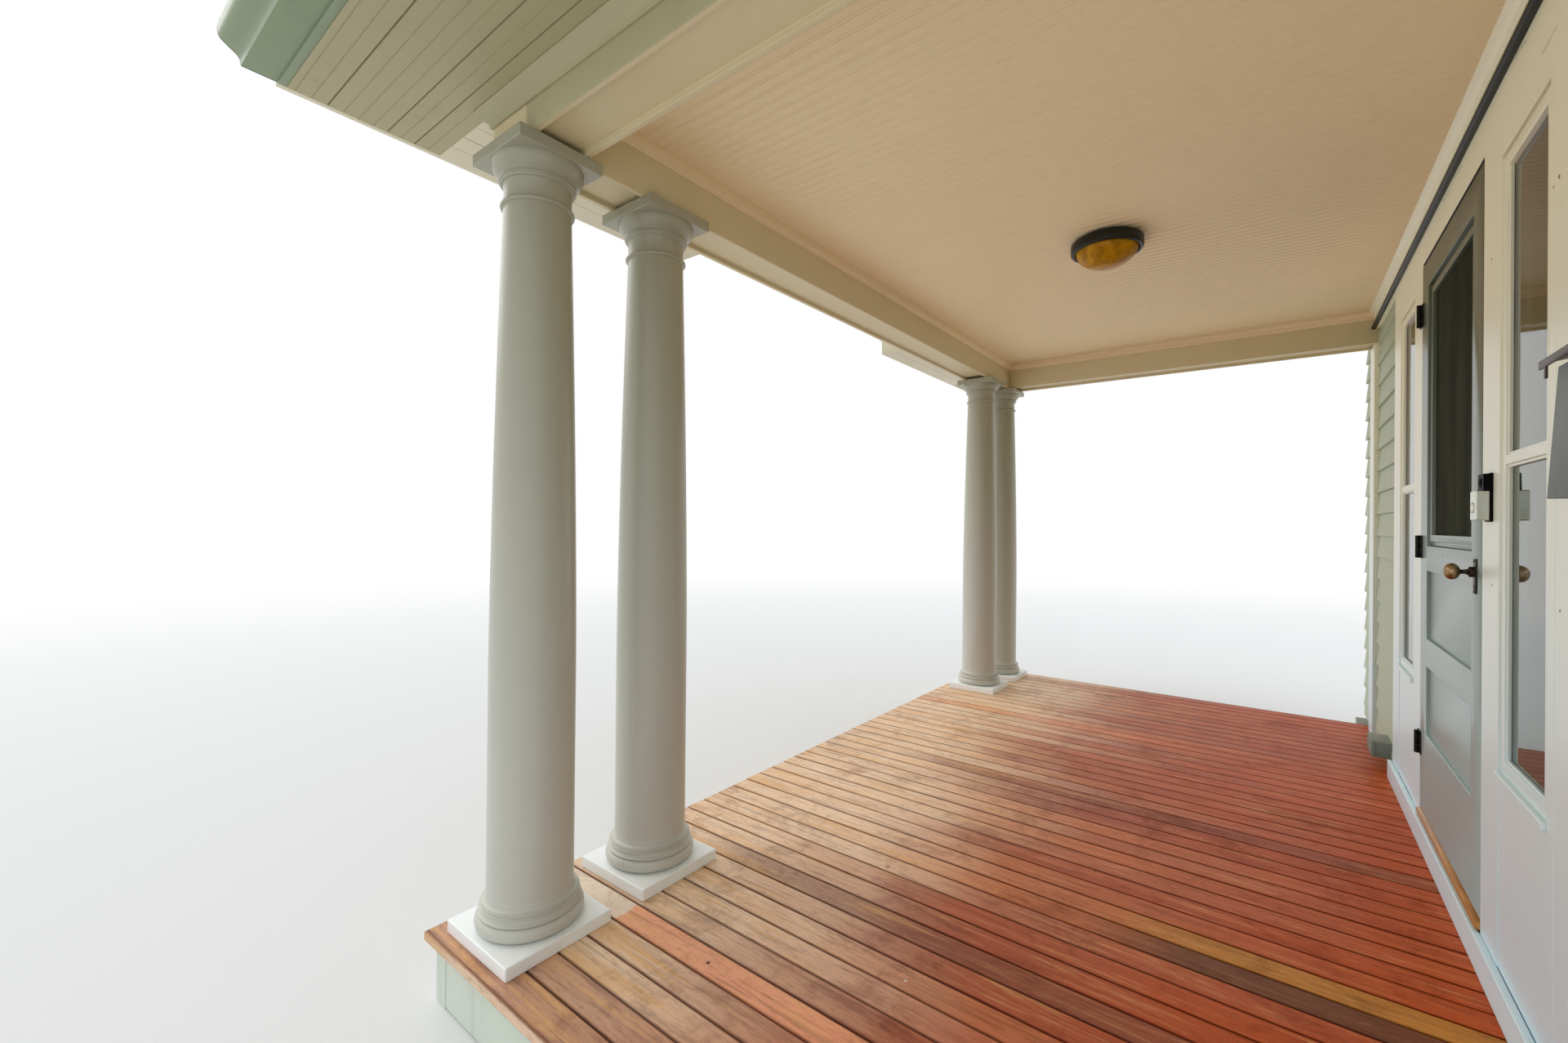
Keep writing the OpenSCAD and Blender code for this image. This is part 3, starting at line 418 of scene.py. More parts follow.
def metalMaterial(name, color, dull, rough, along=(1, 1, 1), pits=0.4):
    material, surface, place = newMaterial(name, color, rough, 1.0)
    tarnish = soften(noise(place, 70.0, 5.0, 0.7), 0.42, 0.68)
    lines = noise(stretch(place, along), 260.0, 3.0, 0.7)
    fill(surface, {"Base Color": mix(tarnish * pits, color, dull),
                   "Roughness": tarnish * 0.2 + (lines * 0.12 + rough),
                   "Normal": bumps(lines, 0.00012)})
    return material


def glassMaterial():
    # the pane's dark green tint stands for the unlit room behind it: painted shade
    material, surface, place = newMaterial("windowGlass", tint(86, 96, 84), 0.03)
    smear = soften(noise(place, 9.0, 4.0, 0.6), 0.5, 0.8)
    fill(surface, {"Transmission Weight": 1.0, "IOR": 1.5, "Roughness": smear * 0.05 + 0.015,
                   "Normal": bumps(noise(place, 3.0, 2.0), 0.004, 0.35)})
    # the lamps' light passes to what stands behind the pane
    tree = material.node_tree
    clear = addNode("ShaderNodeBsdfTransparent", {"Color": tint(196, 204, 190)}, tree=tree)
    shadow = addNode("ShaderNodeLightPath", out="Is Shadow Ray", tree=tree)
    both = addNode("ShaderNodeMixShader", {0: shadow, 1: Value(surface.outputs[0]), 2: clear})
    fill(tree.nodes["Material Output"], {0: both})
    return material


def domeMaterial():
    material, surface, place = newMaterial("amberGlass", tint(186, 132, 14), 0.3)
    swirl = noise(place, 14.0, 5.0, 0.6, 1.8)
    fill(surface, {"Base Color": mix(soften(swirl, 0.35, 0.7), tint(204, 146, 18),
                                     tint(158, 108, 10)),
                   "Specular IOR Level": 0.12, "Roughness": swirl * 0.2 + 0.2,
                   "Normal": bumps(swirl, 0.001)})
    return material


def plasticMaterial():
    material, surface, place = newMaterial("bellBlack", tint(14, 14, 16), 0.3)
    smear = noise(place, 60.0, 3.0)
    fill(surface, {"Base Color": mix(soften(smear, 0.5, 0.8), tint(10, 10, 12), tint(24, 24, 26)),
                   "Specular IOR Level": 0.05, "Roughness": smear * 0.2 + 0.4})
    return material


def clothMaterial(name, light, dark, threads, rough, shine):
    # woven threads both ways with long faint streaks, drawn on the cloth's own X and Z; the streaks
    # are slubs on the shade cloth and painted reflections on the screen cloth
    material, surface, place = newMaterial(name, light, rough)
    x, _, z = split(place)
    turn = 2 * math.pi * threads
    weave = calc("SINE", x * turn) * calc("SINE", z * turn) * 0.5 + 0.5
    # long streaks: slubs in the weave, and painted reflections on the screen
    slubAndReflection = soften(noise(stretch(place, (8, 8, 0.7)), 1.0, 4.0, 0.6), 0.25, 0.75)
    share = calc("ADD", slubAndReflection * 0.5, weave * 0.5, clamp=True)
    fill(surface, {"Base Color": mix(share, dark, light), "Specular IOR Level": shine,
                   "Normal": bumps(weave, 0.0003)})
    return material


slotPaints = {
    "skirt_paint": "skirtPaint", "column_paint": "columnPaint", "cream_paint": "beamPaint",
    "soffit_paint": "soffitPaint", "sage_paint": "sagePaint", "gutter_metal": "gutterPaint",
    "siding_paint": "sidingPaint", "box_paint": "boxPaint", "white_paint": "whitePaint",
    "rail_metal": "railPaint", "dark_paint": "innerDoorPaint", "door_paint": "doorPaint",
    "black_iron": "hingePaint", "mailbox_paint": "mailboxPaint", "lid_paint": "lidPaint",
    "dark_bronze": "bronzePaint"}
finishes = {slot: paintMaterial(paint) for slot, paint in slotPaints.items()}
finishes.update({
    "deck_wood": deckMaterial(), "frame_wood": timberMaterial("sawnTimber"),
    "sill_wood": timberMaterial("sillTimber"), "masonry": masonryMaterial(),
    "roof_covering": shingleMaterial(), "window_glass": glassMaterial(),
    "shade_cloth": clothMaterial("shadeCloth", tint(206, 192, 154), tint(150, 136, 102), 700, 0.8,
                                 0.3),
    # the screen's streaks are painted reflections
    "screen_cloth": clothMaterial("screenCloth", tint(74, 78, 58), tint(20, 22, 15), 560, 0.85,
                                  0.05),
    "old_bronze": metalMaterial("agedBrass", tint(168, 142, 108), tint(84, 66, 50), 0.22),
    "bell_black": plasticMaterial(), "amber_glass": domeMaterial(),
    "satin_nickel": metalMaterial("satinNickel", tint(214, 218, 206), tint(160, 164, 154), 0.3,
                                  (1, 1, 0.05), 0.15)})
plaster, plinthPaint, ceilingPaint, trimPaint, stripPaint = (
    paintMaterial(kind + "Paint") for kind in ("plaster", "plinth", "ceiling", "trim", "strip"))
darkBronze = metalMaterial("darkPlate", tint(70, 64, 54), tint(34, 30, 24), 0.36)
insideWall = ("side_walls", "wall_posts", "wall_at_sidelights", "wall_over_door", "wall_gable")
for part in frame["record"]["subparts"]:
    name = part["node"]
    nodes[name].data.materials.clear()
    nodes[name].data.materials.append(
        plaster if name in insideWall else finishes[part["material_slot"]])
print("materials made:", len(finishes))


# making pieces

def newPiece(name, mesh):
    piece = bpy.data.objects.new(name, mesh)
    scene.collection.objects.link(piece)
    return piece


def bake(piece):
    # the shape with its modifiers becomes a plain mesh
    bpy.context.view_layer.update()
    graph = bpy.context.evaluated_depsgraph_get()
    shaped = bpy.data.meshes.new_from_object(piece.evaluated_get(graph),
                                             preserve_all_data_layers=True, depsgraph=graph)
    piece.modifiers.clear()
    piece.data = shaped
    shaped.name = piece.name
    return piece


def smooth(mesh, angle=None):
    # shaded smooth, with sharp edges where faces turn by more than the angle
    for face in mesh.polygons:
        face.use_smooth = True
    if angle:
        mesh.set_sharp_from_angle(angle=math.radians(angle))
    return mesh


def easeEdges(piece, width, segments=2):
    smooth(piece.data)
    bevel = piece.modifiers.new("easedEdges", "BEVEL")
    bevel.width = width
    bevel.segments = segments
    bevel.limit_method = "ANGLE"
    bevel.angle_limit = math.radians(30)
    bevel.harden_normals = True
    return bake(piece)


def finishPiece(piece, slot, stands=(), body="porch", material=None):
    piece.data.materials.clear()
    piece.data.materials.append(material or finishes[slot])
    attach(piece, body)
    if stands:
        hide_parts(*stands)
    return piece


def meshOf(name, build, join=True):
    # a mesh from a function that fills a bmesh, with its faces turned outwards
    work = bmesh.new()
    build(work)
    if join:
        bmesh.ops.remove_doubles(work, verts=work.verts, dist=1e-6)
    bmesh.ops.recalc_face_normals(work, faces=work.faces)
    mesh = bpy.data.meshes.new(name)
    work.to_mesh(mesh)
    work.free()
    return mesh


def boxes(name, blocks, ease=0.0015, segments=2):
    def build(work):
        for low, high in blocks:
            low, high = Vector(low), Vector(high)
            place = Matrix.Translation((low + high) / 2) @ Matrix.Diagonal((*(high - low), 1))
            bmesh.ops.create_cube(work, size=1, matrix=place)
    # boards that meet at a corner stay separate
    return easeEdges(newPiece(name, meshOf(name, build, join=False)), ease, segments)


def mirrored(blocks):
    return blocks + [((-high[0], low[1], low[2]), (-low[0], high[1], high[2]))
                     for low, high in blocks]


def squares(centres, half, low, high):
    # square blocks, one on each centre
    return [((x - half, y - half, low), (x + half, y + half, high)) for x, y, _ in centres]


def easedCopies(rows, body="porch"):
    # the CAD's own solids with their edges eased: name, node, edge, slot and any other paint
    made = []
    for name, node, ease, slot, *paint in rows:
        def build(work):
            work.from_mesh(nodes[node].data)
            bmesh.ops.remove_doubles(work, verts=work.verts, dist=2e-5)
            bmesh.ops.dissolve_limit(work, angle_limit=math.radians(0.4), verts=work.verts,
                                     edges=work.edges)
        piece = easeEdges(newPiece(name, meshOf(name, build)), ease)
        made.append(finishPiece(piece, slot, [node], body, *paint))
    return made


def drawn(name, outline, start, end, axis="y"):
    # a closed outline drawn out along an axis; x, z for axis y and y, z for axis x
    def build(work):
        first, last = ([work.verts.new((a, along, b) if axis == "y" else (along, a, b))
                        for a, b in outline] for along in (start, end))
        work.faces.new(first)
        work.faces.new(last)
        for i in range(len(outline)):
            j = (i + 1) % len(outline)
            work.faces.new((first[i], first[j], last[j], last[i]))
    return newPiece(name, meshOf(name, build))


def turned(name, outline, centres, sides=64, facing="z", angle=32):
    # outline of radius and height, turned round an upright axis or one that faces the front
    def build(work):
        for centre in centres:
            rings = []
            for radius, height in outline:
                ring = []
                for k in range(sides if radius > 1e-6 else 1):
                    a = 2 * math.pi * k / sides
                    spot = Vector((radius * math.cos(a), radius * math.sin(a), height))
                    if facing == "front":
                        spot = Vector((spot.x, -spot.z, spot.y))
                    ring.append(work.verts.new(Vector(centre) + spot))
                rings.append(ring)
            for low, high in zip(rings, rings[1:]):
                for k in range(sides):
                    j = (k + 1) % sides
                    if len(low) == 1:
                        work.faces.new((low[0], high[j], high[k]))
                    elif len(high) == 1:
                        work.faces.new((low[k], low[j], high[0]))
                    else:
                        work.faces.new((low[k], low[j], high[j], high[k]))
    return newPiece(name, smooth(meshOf(name, build), angle))


def sheetPiece(name, columns, rows, spot):
    # a smooth sheet; spot gives the place at a column and a row
    def build(work):
        grid = [[work.verts.new(spot(i, j)) for i in range(columns + 1)]
                for j in range(rows + 1)]
        for low, high in zip(grid, grid[1:]):
            for i in range(columns):
                work.faces.new((low[i], low[i + 1], high[i + 1], high[i]))
    return newPiece(name, smooth(meshOf(name, build)))


def arc(centre, radius, start, end, steps=8):
    # points on part of a circle, angles in degrees
    angles = [math.radians(start + (end - start) * i / steps) for i in range(steps + 1)]
    return [(centre[0] + radius * math.cos(a), centre[1] + radius * math.sin(a)) for a in angles]


def moulding(radius, z, points, core=0.02):
    # a turned outline from points beside a radius and a height, closed near the axis
    return ([(core, z + points[0][1])] + [(radius + out, z + up) for out, up in points]
            + [(core, z + points[-1][1])])


# geometry node trees, with their sizes as named inputs

def geometryGroup(name, takes):
    return newGroup(name, "GeometryNodeTree", takes, [("Geometry", "Geometry")])


def moved(geometry, **place):
    return addNode("GeometryNodeTransform", {"Geometry": geometry, **place})


def instancesOn(points, instance):
    return addNode("GeometryNodeInstanceOnPoints", {"Points": points, "Instance": instance})


def closeTree(end, instances, finish):
    solid = addNode("GeometryNodeRealizeInstances", {"Geometry": instances})
    fill(end, {0: addNode("GeometryNodeSetMaterial", {"Geometry": solid, "Material": finish})})
    return end.id_data


def boardRowTree():
    # like boards at a regular step, each a little off its place and maybe tilted
    _, given, end = geometryGroup("boardRow", [
        ("Boards", "Int", 10), ("Step", "Vector", (0.1, 0, 0)),
        ("Board Size", "Vector", (0.09, 1, 0.02)), ("First Centre", "Vector", (0, 0, 0)),
        ("Tilt", "Vector", (0, 0, 0)), ("Drift", "Vector", (0, 0, 0)), ("Seed", "Int", 1),
        ("Finish", "Material")])
    line = addNode("GeometryNodeMeshLine", {
        "Count": given["Boards"], "Start Location": given["First Centre"],
        "Offset": given["Step"]}, mode="OFFSET", count_mode="TOTAL")
    back = addNode("ShaderNodeVectorMath", {0: given["Drift"], "Scale": -1.0}, operation="SCALE")
    drift = addNode("FunctionNodeRandomValue", {0: back, 1: given["Drift"],
                                                "Seed": given["Seed"]}, data_type="FLOAT_VECTOR")
    spots = addNode("GeometryNodeSetPosition", {"Geometry": line, "Offset": drift})
    board = moved(addNode("GeometryNodeMeshCube", {"Size": given["Board Size"]}),
                  Rotation=given["Tilt"])
    return closeTree(end, instancesOn(spots, board), given["Finish"])


def shingleTree():
    # courses of tabs, every second course half a tab along, laid out flat and then turned
    tree, given, end = geometryGroup("shingleCourses", [
        ("Courses", "Int", 20), ("Tabs", "Int", 10), ("Course Height", "Float", 0.14),
        ("Tab Width", "Float", 0.3), ("Tab Size", "Vector", (0.31, 0.17, 0.005)),
        ("Lean", "Vector", (0, 0, 0)), ("Turn", "Vector", (0, 0, 0)),
        ("Corner", "Vector", (0, 0, 0)), ("Seed", "Int", 3), ("Finish", "Material")])
    line = addNode("GeometryNodeMeshLine", {"Count": given["Courses"] * given["Tabs"]},
                   mode="OFFSET")
    index = addNode("GeometryNodeInputIndex", tree=tree)
    row = calc("FLOOR", (index + 0.5) / given["Tabs"])
    column = index - row * given["Tabs"]
    off = addNode("FunctionNodeRandomValue", {2: -0.06, 3: 0.06, "Seed": given["Seed"]}, 1,
                  data_type="FLOAT")
    across = given["Tab Width"] * (off + (calc("MODULO", row, 2.0) * -0.5 + (column + 0.5)))
    spots = addNode("GeometryNodeSetPosition", {
        "Geometry": line, "Position": combine(across, (row + 0.5) * given["Course Height"])})
    tab = moved(addNode("GeometryNodeMeshCube", {"Size": given["Tab Size"]}),
                Rotation=given["Lean"])
    onSlope = moved(instancesOn(spots, tab), Rotation=given["Turn"], Translation=given["Corner"])
    return closeTree(end, onSlope, given["Finish"])


def columnShaftTree():
    # straight for its first part, then drawn in with a slight swell, on each given point
    tree, given, end = geometryGroup("columnShaft", [
        ("Places", "Object"), ("Height", "Float", 2.0), ("Foot Radius", "Float", 0.12),
        ("Neck Radius", "Float", 0.1), ("Straight Part", "Float", 0.33), ("Swell", "Float", 1.5),
        ("Sides", "Int", 96), ("Rings", "Int", 40), ("Finish", "Material")])
    sheet = addNode("GeometryNodeMeshGrid", {
        "Size X": 1.0, "Size Y": 1.0, "Vertices X": given["Sides"] + 1.0,
        "Vertices Y": given["Rings"] + 1.0})
    x, y, _ = split(addNode("GeometryNodeInputPosition", tree=tree))
    around = (x + 0.5) * (2 * math.pi)
    upward = y + 0.5
    foot, straight = given["Foot Radius"], given["Straight Part"]
    above = (upward - straight) / (1.0 - straight)
    drawnIn = calc("POWER", calc("MAXIMUM", above, 0.0), given["Swell"])
    radius = foot - drawnIn * (foot - given["Neck Radius"])
    wrapped = combine(radius * calc("COSINE", around), radius * calc("SINE", around),
                      upward * given["Height"])
    shaft = addNode("GeometryNodeSetPosition", {"Geometry": sheet, "Position": wrapped})
    closed = addNode("GeometryNodeMergeByDistance", {"Geometry": shaft, "Distance": 0.0001})
    rounded = addNode("GeometryNodeSetShadeSmooth", {"Geometry": closed})
    spots = addNode("GeometryNodeObjectInfo", {"Object": given["Places"]}, "Geometry")
    return closeTree(end, instancesOn(spots, rounded), given["Finish"])


def screwHeadTree():
    # a flat round head at each given point, facing the front
    _, given, end = geometryGroup("screwHeads", [
        ("Places", "Object"), ("Head Radius", "Float", 0.004), ("Head Height", "Float", 0.0015),
        ("Finish", "Material")])
    head = addNode("GeometryNodeMeshCylinder", {
        "Vertices": 14, "Radius": given["Head Radius"], "Depth": given["Head Height"]})
    spots = addNode("GeometryNodeObjectInfo", {"Object": given["Places"]}, "Geometry")
    return closeTree(end, instancesOn(spots, moved(head, Rotation=(math.pi / 2, 0, 0))),
                     given["Finish"])


def grow(name, tree, values):
    # a plain mesh from a tree; inputs are set by identifier before the first evaluation
    piece = newPiece(name, bpy.data.meshes.new(name))
    modifier = piece.modifiers.new("grow", "NODES")
    modifier.node_group = tree
    for socket in tree.interface.items_tree:
        if socket.item_type == "SOCKET" and socket.in_out == "INPUT" and socket.name in values:
            modifier[socket.identifier] = values[socket.name]
    return bake(piece)


def growOnPoints(name, tree, points, values):
    # the same with the tree's Places as points, which go again
    mesh = bpy.data.meshes.new(name + "Places")
    mesh.from_pydata(points, [], [])
    places = newPiece(name + "Places", mesh)
    piece = grow(name, tree, {"Places": places, **values})
    bpy.data.objects.remove(places)
    return piece


boardRow = boardRowTree()
shingleCourses = shingleTree()
columnShaft = columnShaftTree()
screwHeads = screwHeadTree()
print("node trees built")


# deck
deck = {"boards": 45, "pitch": deckLook["pitch"], "gap": 0.0058, "thick": 0.025,
        "firstJoint": deckLook["firstJoint"], "front": -2.400, "back": -0.002, "edge": 0.002}


def makeDeck():
    d = deck
    long = d["back"] - d["front"]
    boards = grow("deckBoards", boardRow, {
        "Boards": d["boards"], "Step": (d["pitch"], 0, 0),
        "Board Size": (d["pitch"] - d["gap"], long, d["thick"]),
        "First Centre": (d["firstJoint"] + d["pitch"] / 2, d["front"] + long / 2,
                         deckTop - d["thick"] / 2),
        "Drift": (0.0005, 0.0012, 0.0004), "Seed": 7, "Finish": finishes["deck_wood"]})
    finishPiece(easeEdges(boards, d["edge"]), "deck_wood", ["deck_boards"])
    rim = -d["firstJoint"] + d["gap"] / 2
    edges = boxes("deckEdgeBoards", mirrored([
        ((rim, d["front"] - 0.001, deckTop - d["thick"]), (2.215, d["back"], deckTop))]),
        0.003, 3)
    back = boxes("deckBackStrip", [((-2.2, -0.002, 0.176), (2.2, 0.028, 0.199))], 0.001)
    for piece in (edges, back):
        finishPiece(piece, "deck_wood", ["deck_boards"])
    skirt = boxes("skirtBoards", [((-2.13, -2.375, 0.004), (2.13, -2.357, 0.175))] + mirrored([
        ((2.130, -2.376, 0.0), (2.190, -2.356, 0.175)),
        ((2.171, -2.356, 0.0), (2.191, -2.315, 0.175)),
        ((2.172, -2.3135, 0.004), (2.190, -0.03, 0.175))]))
    finishPiece(skirt, "skirt_paint", ["skirt_front", "skirt_sides"])


makeDeck()


# columns: radii and heights of the turned parts, from the mouldings
column = {"xs": (2.01, 1.56, -1.56, -2.01), "y": -2.18, "foot": 0.121, "neck": 0.095,
          "plinth": 0.165, "plinthTop": 0.238, "baseTop": 0.312, "capital": 2.307,
          "abacus": 0.132, "abacusHigh": 0.035, "beam": 2.472, "flare": 0.011}


def makeColumns():
    c = column
    centres = [(x, c["y"], 0) for x in c["xs"]]
    plinths = boxes("columnPlinths", squares(centres, c["plinth"], deckTop, c["plinthTop"]),
                    0.004, 3)
    # the plinths take the lighter, lit copy of the column white: painted light
    finishPiece(plinths, "column_paint", ["column_plinths"], material=plinthPaint)
    base = [(0.006, 0)] + arc((0.008, 0.022), 0.022, -90, 90, 14)
    base += [(0.020, 0.0442), (0.0217, 0.0452), (0.0217, 0.0484), (0.020, 0.0492)]
    base += arc((0.022, 0.059), 0.0098, -100, -260, 10)[1:-1]
    base += [(0.0128, 0.0694), (0.014, 0.0705), (0.014, 0.0735), (0.0128, 0.074)]
    low, flare = c["baseTop"], c["flare"]
    foot = [(flare, -0.001), (flare, 0.003)] + arc((flare, 0.003 + flare), flare, -90, -180)[1:]
    foot += [(0.0002, 0.024), (-0.006, 0.030)]
    top = [(-0.003, -0.006), (0.0015, -0.0005)] + arc((0.003, 0.006), 0.006, -90, 90, 10)
    top += arc((0.004, 0.016), 0.004, -90, -180, 4)[1:]
    top += [(0, 0.064), (0.002, 0.0675), (0.0075, 0.0682), (0.0082, 0.069), (0.0082, 0.074),
            (0.0092, 0.075), (0.0125, 0.0755), (0.013, 0.0765), (0.013, 0.0808),
            (0.012, 0.082), (0.010, 0.0835)]
    top += arc((-0.012, 0.130), 0.046, -60, -4, 12) + [(0.034, 0.130)]

    def turnedPart(name, outline, node):
        finishPiece(turned(name, outline, centres, 96, angle=50), "column_paint", [node])
    turnedPart("columnBases", moulding(c["foot"], c["plinthTop"], base), "column_bases")
    feet = [(x, y, low + 0.002) for x, y, _ in centres]
    shafts = growOnPoints("columnShafts", columnShaft, feet, {
        "Height": c["capital"] - low, "Foot Radius": c["foot"], "Neck Radius": c["neck"],
        "Straight Part": 0.33, "Swell": 1.5, "Sides": 96, "Rings": 40,
        "Finish": finishes["column_paint"]})
    finishPiece(shafts, "column_paint", ["column_shafts"])
    turnedPart("shaftFlares", moulding(c["foot"], low, foot)[:-1], "column_shafts")
    turnedPart("columnCapitals", moulding(c["neck"], c["capital"], top), "column_capitals")
    abaci = boxes("columnAbaci", squares(centres, c["abacus"], c["beam"] - c["abacusHigh"],
                                         c["beam"]), 0.003, 3)
    finishPiece(abaci, "column_paint", ["column_capitals"])


makeColumns()
print("deck and columns made")


# beams, ceiling and soffits
ceiling = {"left": -1.92, "right": 1.92, "front": -2.09, "back": 0.014, "z": 2.654,
           "pitch": 0.0409, "thick": 0.012}
soffit = {"inner": 2.10, "outer": 2.507, "front": -2.625, "beam": -2.27, "back": 0.014,
          "z": 2.600, "pitch": 0.0388, "firstSide": 2.1012, "openSide": (2, 4, 8),
          "frontPitch": 0.080, "firstFront": -2.54, "openFront": (1,), "thick": 0.012,
          "nearEnd": 1.07, "farEnd": -0.905}


def groovedOutline(start, end, z, first, pitch, thick, wide=(), bead=False):
    # underside with a groove at each pitch; the joints named in wide stand open
    points = []
    for i in range(int((end - 0.006 - first) / pitch) + 1):
        x = first + i * pitch
        half, deep = (0.0024, 0.006) if i in wide else (0.0017, 0.0018)
        if x > start + 0.004:
            points += [(x - half, z), (x - half * 0.35, z + deep), (x + half * 0.35, z + deep),
                       (x + half, z)]
        if bead and x > start:  # a slight bead beside the groove
            points += [(x + 0.0035, z - 0.0002), (x + 0.0062, z - 0.0012),
                       (x + 0.0090, z - 0.0002), (x + 0.0102, z + 0.0014),
                       (x + 0.0116, z + 0.0001)]
    return [(start, z)] + points + [(end, z), (end, z + thick), (start, z + thick)]


def makeOverhead():
    c, s = ceiling, soffit
    boards = drawn("ceilingBoards", groovedOutline(
        c["left"], c["right"], c["z"], c["left"] + 0.02, c["pitch"], c["thick"], (), True),
        c["front"], c["back"])
    finishPiece(boards, "cream_paint", ["ceiling"], material=ceilingPaint)
    side = groovedOutline(s["inner"], s["outer"], s["z"], s["firstSide"], s["pitch"],
                          s["thick"], s["openSide"])
    front = groovedOutline(s["front"], s["beam"], s["z"], s["firstFront"], s["frontPitch"],
                           s["thick"], s["openFront"])
    for name, outline in (("nearSoffitBoards", side),
                          ("farSoffitBoards", [(-x, z) for x, z in side])):
        finishPiece(drawn(name, outline, s["front"], s["back"]), "soffit_paint",
                    ["soffit_sides"])
    # the returns' soffits take the lighter copy of the cream paint: painted light
    for name, start, end in (("nearReturnSoffit", s["nearEnd"], s["inner"]),
                             ("farReturnSoffit", -s["inner"], s["farEnd"])):
        finishPiece(drawn(name, front, start, end, "x"), "soffit_paint", ["soffit_front"],
                    material=trimPaint)
    _, _, sideBeams, _ = easedCopies([
        ("frontBeam", "front_beam", 0.003, "cream_paint"),
        ("bedMouldings", "bed_mouldings", 0.002, "soffit_paint"),
        ("sideBeams", "side_beams", 0.003, "cream_paint"),
        ("crownMoulding", "crown_moulding", 0.0008, "cream_paint", ceilingPaint)])
    # the side beams' outer faces take the darker, olive copy of the cream paint: painted shade with
    # a green cast
    sideBeams.data.materials.append(finishes["soffit_paint"])
    for face in sideBeams.data.polygons:
        if abs(face.center.x) > s["inner"] - 0.002:
            face.material_index = 1
    # a coved moulding hides the joint of ceiling and wall: places from its back upper edge
    cove = [(0.0, 0.0), (-0.0290, 0.0), (-0.0290, -0.0065), (-0.0262, -0.0080)]
    cove += arc((-0.0300, -0.0330), 0.0245, 70, 12)
    cove += [(-0.0075, -0.0290), (-0.0105, -0.0310), (-0.0105, -0.0360), (-0.0060, -0.0380),
             (-0.0060, -0.0450), (0.0, -0.0450)]
    profile = [(y, c["z"] - 0.0005 + z) for y, z in cove]
    finishPiece(drawn("wallCrown", profile, -1.90, 1.90, "x"), "white_paint")


makeOverhead()


# roof: gutters, boards, shingles and the pediment's lapped boards
gutter = {"back": 2.527, "floor": 2.608, "wall": 0.0022, "front": -2.635, "rear": 0.168,
          "straps": 5, "capPoints": 15, "capHigh": 0.078,
          "face": ((0.000, 0.086), (0.000, 0.000), (0.074, 0.000), (0.0765, 0.0015),
                   (0.079, 0.016), (0.084, 0.0235), (0.091, 0.029), (0.099, 0.0335),
                   (0.106, 0.0385), (0.1135, 0.0435), (0.1195, 0.049), (0.1235, 0.0565),
                   (0.1248, 0.064), (0.1248, 0.0845), (0.1205, 0.0865), (0.114, 0.0865),
                   (0.1125, 0.082))}
roof = {"slope": 0.5, "eave": 2.547, "eaveTop": 2.7235, "front": -2.658, "rear": 0.166,
        "courses": 19, "tabs": 10, "tabWidth": roofLook["tab"], "course": roofLook["course"],
        "tabLong": 0.185, "tabThick": 0.0048, "joint": 0.005, "rest": 0.0062, "overhang": 0.006}
pediment = {"face": -2.270, "start": 2.672, "lap": 0.122, "butt": 0.013, "slope": 0.5,
            "rise": 3.8115}


def makeGutters():
    g = gutter
    path = [Vector(point) for point in g["face"]]
    inner = []
    for i, point in enumerate(path):
        along = (path[min(i + 1, len(path) - 1)] - path[max(i - 1, 0)]).normalized()
        inner.append(point + Vector((-along.y, along.x)) * g["wall"])
    loop = path + inner[::-1]
    for hand, name in ((1, "nearGutter"), (-1, "farGutter")):
        def build(work):
            ends = [[work.verts.new((hand * (g["back"] + p.x), y, g["floor"] + p.y))
                     for p in loop] for y in (g["front"], g["rear"])]
            for i in range(len(loop)):
                j = (i + 1) % len(loop)
                work.faces.new((ends[0][i], ends[0][j], ends[1][j], ends[1][i]))
            for i in range(len(path) - 1):
                j, k, m = i + 1, len(loop) - 1 - i, len(loop) - 2 - i
                for ring in ends:
                    work.faces.new((ring[i], ring[j], ring[m], ring[k]))
        trough = newPiece(name, smooth(meshOf(name, build), 40))
        cap = [(hand * (g["back"] + p.x), g["floor"] + min(p.y, g["capHigh"]))
               for p in path[:g["capPoints"]]]
        caps = [drawn(name + end + "Cap", cap, y, y + 0.003)
                for end, y in (("Front", g["front"]), ("Rear", g["rear"] - 0.003))]
        for piece in (trough, *caps):
            finishPiece(piece, "gutter_metal", ["gutters"])
        straps = grow(name + "Straps", boardRow, {
            "Boards": g["straps"], "Step": (0, 0.6, 0), "Board Size": (0.108, 0.018, 0.002),
            "First Centre": (hand * (g["back"] + 0.0585), g["front"] + 0.2, g["floor"] + 0.074),
            "Drift": (0, 0.01, 0), "Seed": 5, "Finish": finishes["gutter_metal"]})
        finishPiece(straps, "gutter_metal")


def cutOff(piece, spot, normal):
    # removes what lies beyond a plane and closes the cut
    work = bmesh.new()
    work.from_mesh(piece.data)
    cut = bmesh.ops.bisect_plane(work, geom=work.verts[:] + work.edges[:] + work.faces[:],
                                 plane_co=spot, plane_no=normal, clear_outer=True)
    rim = [part for part in cut["geom_cut"] if isinstance(part, bmesh.types.BMEdge)]
    bmesh.ops.holes_fill(work, edges=rim)
    work.to_mesh(piece.data)
    work.free()


